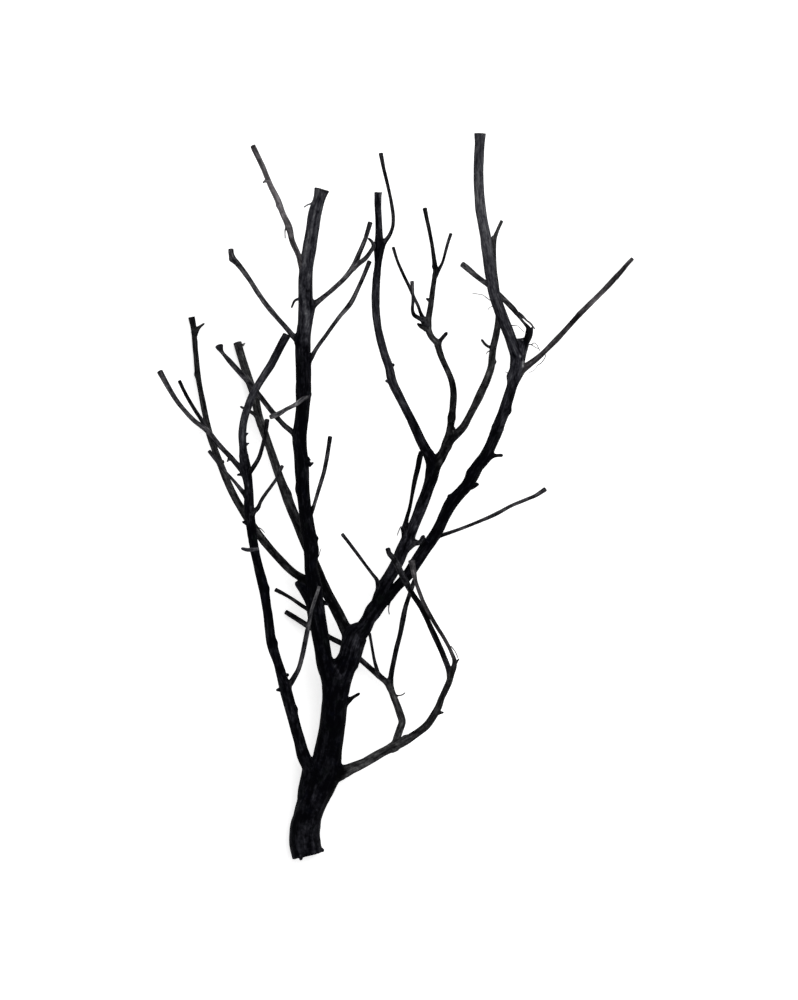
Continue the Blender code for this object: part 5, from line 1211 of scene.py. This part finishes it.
def sawn_end_grain(name):
    """End grain of a sawn root, blackened with the rest and dull: uneven growth rings, pores, and dark checks
    that have opened along its rays."""
    material, tree = new_material(name)
    place = add(tree, "Attribute", attribute_name="end_grain").outputs["Vector"]  # millimetres from the pith
    away = add(tree, "VectorMath", {0: place}, operation="LENGTH").outputs["Value"]
    waver = add(tree, "TexNoise", {"Vector": place, "Scale": 0.12, "Detail": 1.0}).outputs["Fac"]
    ringed = add(tree, "Math", {0: waver, 1: 6.0, 2: away}, operation="MULTIPLY_ADD").outputs[0]
    rings = add(tree, "TexNoise", {
        "W": ringed, "Scale": 1.5, "Detail": 1.0,
    }, noise_dimensions="1D").outputs[0]
    way = add(tree, "VectorMath", {0: place}, operation="NORMALIZE").outputs["Vector"]
    rays = add(tree, "TexNoise", {"Vector": way, "Scale": 8.0, "Detail": 2.0}).outputs["Fac"]
    pores = add(tree, "TexNoise", {"Vector": place, "Scale": 3.0, "Detail": 2.0}).outputs["Fac"]
    checks = add(tree, "MapRange", {
        "Value": rays, "From Min": 0.62, "From Max": 0.68, "To Max": -0.3,
    }).outputs[0]
    tone = 0.0
    for marks, weight in ((rings, 0.5), (pores, 0.3), (rays, 0.2), (checks, 1.0)):
        tone = add(tree, "Math", {0: marks, 1: weight, 2: tone}, operation="MULTIPLY_ADD").outputs[0]
    colour = add(tree, "ValToRGB", {0: tone}, stops=((0.3, "#060607"), (0.5, "#1a1a1b"), (0.65, "#33312f")))
    bump = add(tree, "Bump", {"Height": tone, "Strength": 0.6, "Distance": 0.2 * MM}).outputs[0]
    shader = add(tree, "BsdfPrincipled", {
        "Base Color": colour.outputs["Color"], "Roughness": 0.8, "Normal": bump, "IOR": WOOD_IOR,
        "Specular IOR Level": WOOD_SHINE,
    })
    add(tree, "OutputMaterial", {"Surface": shader.outputs[0]})
    return material


def build_wood():
    """Every limb with its spurs and hairs, as a piece of its own."""
    materials = {kind: weathered_bark(kind + "_bark", kind) for kind in BARK_TONES}
    materials["cut"] = sawn_end_grain("sawn_end_grain")
    paths = {
        name: Path(name, limb.points, limb.wear, 3 + 11 * i) for i, (name, limb) in enumerate(LIMBS.items())
    }
    relatives, hosts = {name: [] for name in LIMBS}, {name: [] for name in LIMBS}
    for name, limb in LIMBS.items():
        hosts[name] = [(paths[host], limb.web) for host in limb.hosts.split()]
        relatives[name] += hosts[name]
        for host in limb.hosts.split():
            relatives[host].append((paths[name], limb.web))
    surfaces = {
        name: [limb_surface(paths[name], limb.ends, relatives[name], hosts[name])]
        for name, limb in LIMBS.items()
    }
    for i, (host, wear, points) in enumerate(SPURS + HAIRS):
        path = Path(f"spur_{i}", points, (wear,), 900 + 7 * i, BARK if i < len(SPURS) else 0.0)
        host_and_web = [(paths[host], max(1.0, 0.8 * path.widest) if i < len(SPURS) else 0.4)]
        surfaces[host].append(limb_surface(path, "snapped", host_and_web, host_and_web))
    for name, limb in LIMBS.items():
        piece_of(name + "_wood", limb.nodes, limb.bark, surfaces[name], materials)


def looked_at(tree):
    """1 where the camera sees something, also mirrored or through glass, and 0 where it lights the rest."""
    seen = 0.0
    ray = add(tree, "LightPath").outputs
    for kind in ("Is Glossy Ray", "Is Transmission Ray", "Is Camera Ray"):
        seen = add(tree, "Math", {0: ray[kind], 1: seen}, operation="MAXIMUM").outputs[0]
    return seen


def build_surroundings():
    """A plain white surface, soft light from above and the camera straight overhead."""
    shape = bmesh.new()
    bmesh.ops.create_grid(shape, x_segments=1, y_segments=1, size=SURFACE_HALF_WIDTH)
    mesh = bpy.data.meshes.new("white_surface")
    shape.to_mesh(mesh)
    shape.free()
    floor = bpy.data.objects.new("white_surface", mesh)
    bpy.context.scene.collection.objects.link(floor)
    floor.location.z = cad_low[2]
    material, tree = new_material("matt_white_surface")
    paint = add(tree, "BsdfDiffuse", {"Color": linear("#f2f2f2")})
    glow = add(tree, "Emission", {"Color": linear("#ffffff"), "Strength": SURFACE_GLOW})
    both = add(tree, "AddShader", {0: paint.outputs[0], 1: glow.outputs[0]})
    mixed = add(tree, "MixShader", {0: looked_at(tree), 1: paint.outputs[0], 2: both.outputs[0]})
    add(tree, "OutputMaterial", {"Surface": mixed.outputs[0]})
    mesh.materials.append(material)

    lamp = bpy.data.lights.new("overhead_softbox", "AREA")
    lamp.shape, lamp.size, lamp.energy = "DISK", SOFTBOX_WIDTH, SOFTBOX_POWER
    softbox = bpy.data.objects.new("overhead_softbox", lamp)
    softbox.location = SOFTBOX_PLACE
    softbox.rotation_euler = (-softbox.location).to_track_quat("-Z", "Y").to_euler()
    bpy.context.scene.collection.objects.link(softbox)

    world = bpy.data.worlds.new("even_white_room")
    world.use_nodes = True
    tree = world.node_tree
    tree.nodes.clear()
    strength = add(tree, "MapRange", {"Value": looked_at(tree), "To Min": ROOM_LIGHT}).outputs[0]
    room = add(tree, "Background", {"Color": linear("#ffffff"), "Strength": strength})
    add(tree, "OutputWorld", {"Surface": room.outputs[0]})
    bpy.context.scene.world = world

    lens = bpy.data.cameras.new("overhead_camera")
    lens.lens, lens.sensor_width = LENS_MM, SENSOR_MM
    lens.clip_start, lens.clip_end = NEAREST_SEEN, FARTHEST_SEEN
    camera = bpy.data.objects.new("overhead_camera", lens)
    camera.location = CAMERA_PLACE
    bpy.context.scene.collection.objects.link(camera)
    bpy.context.scene.camera = camera
    bpy.context.scene.view_settings.view_transform = "Standard"


build_wood()
build_surroundings()
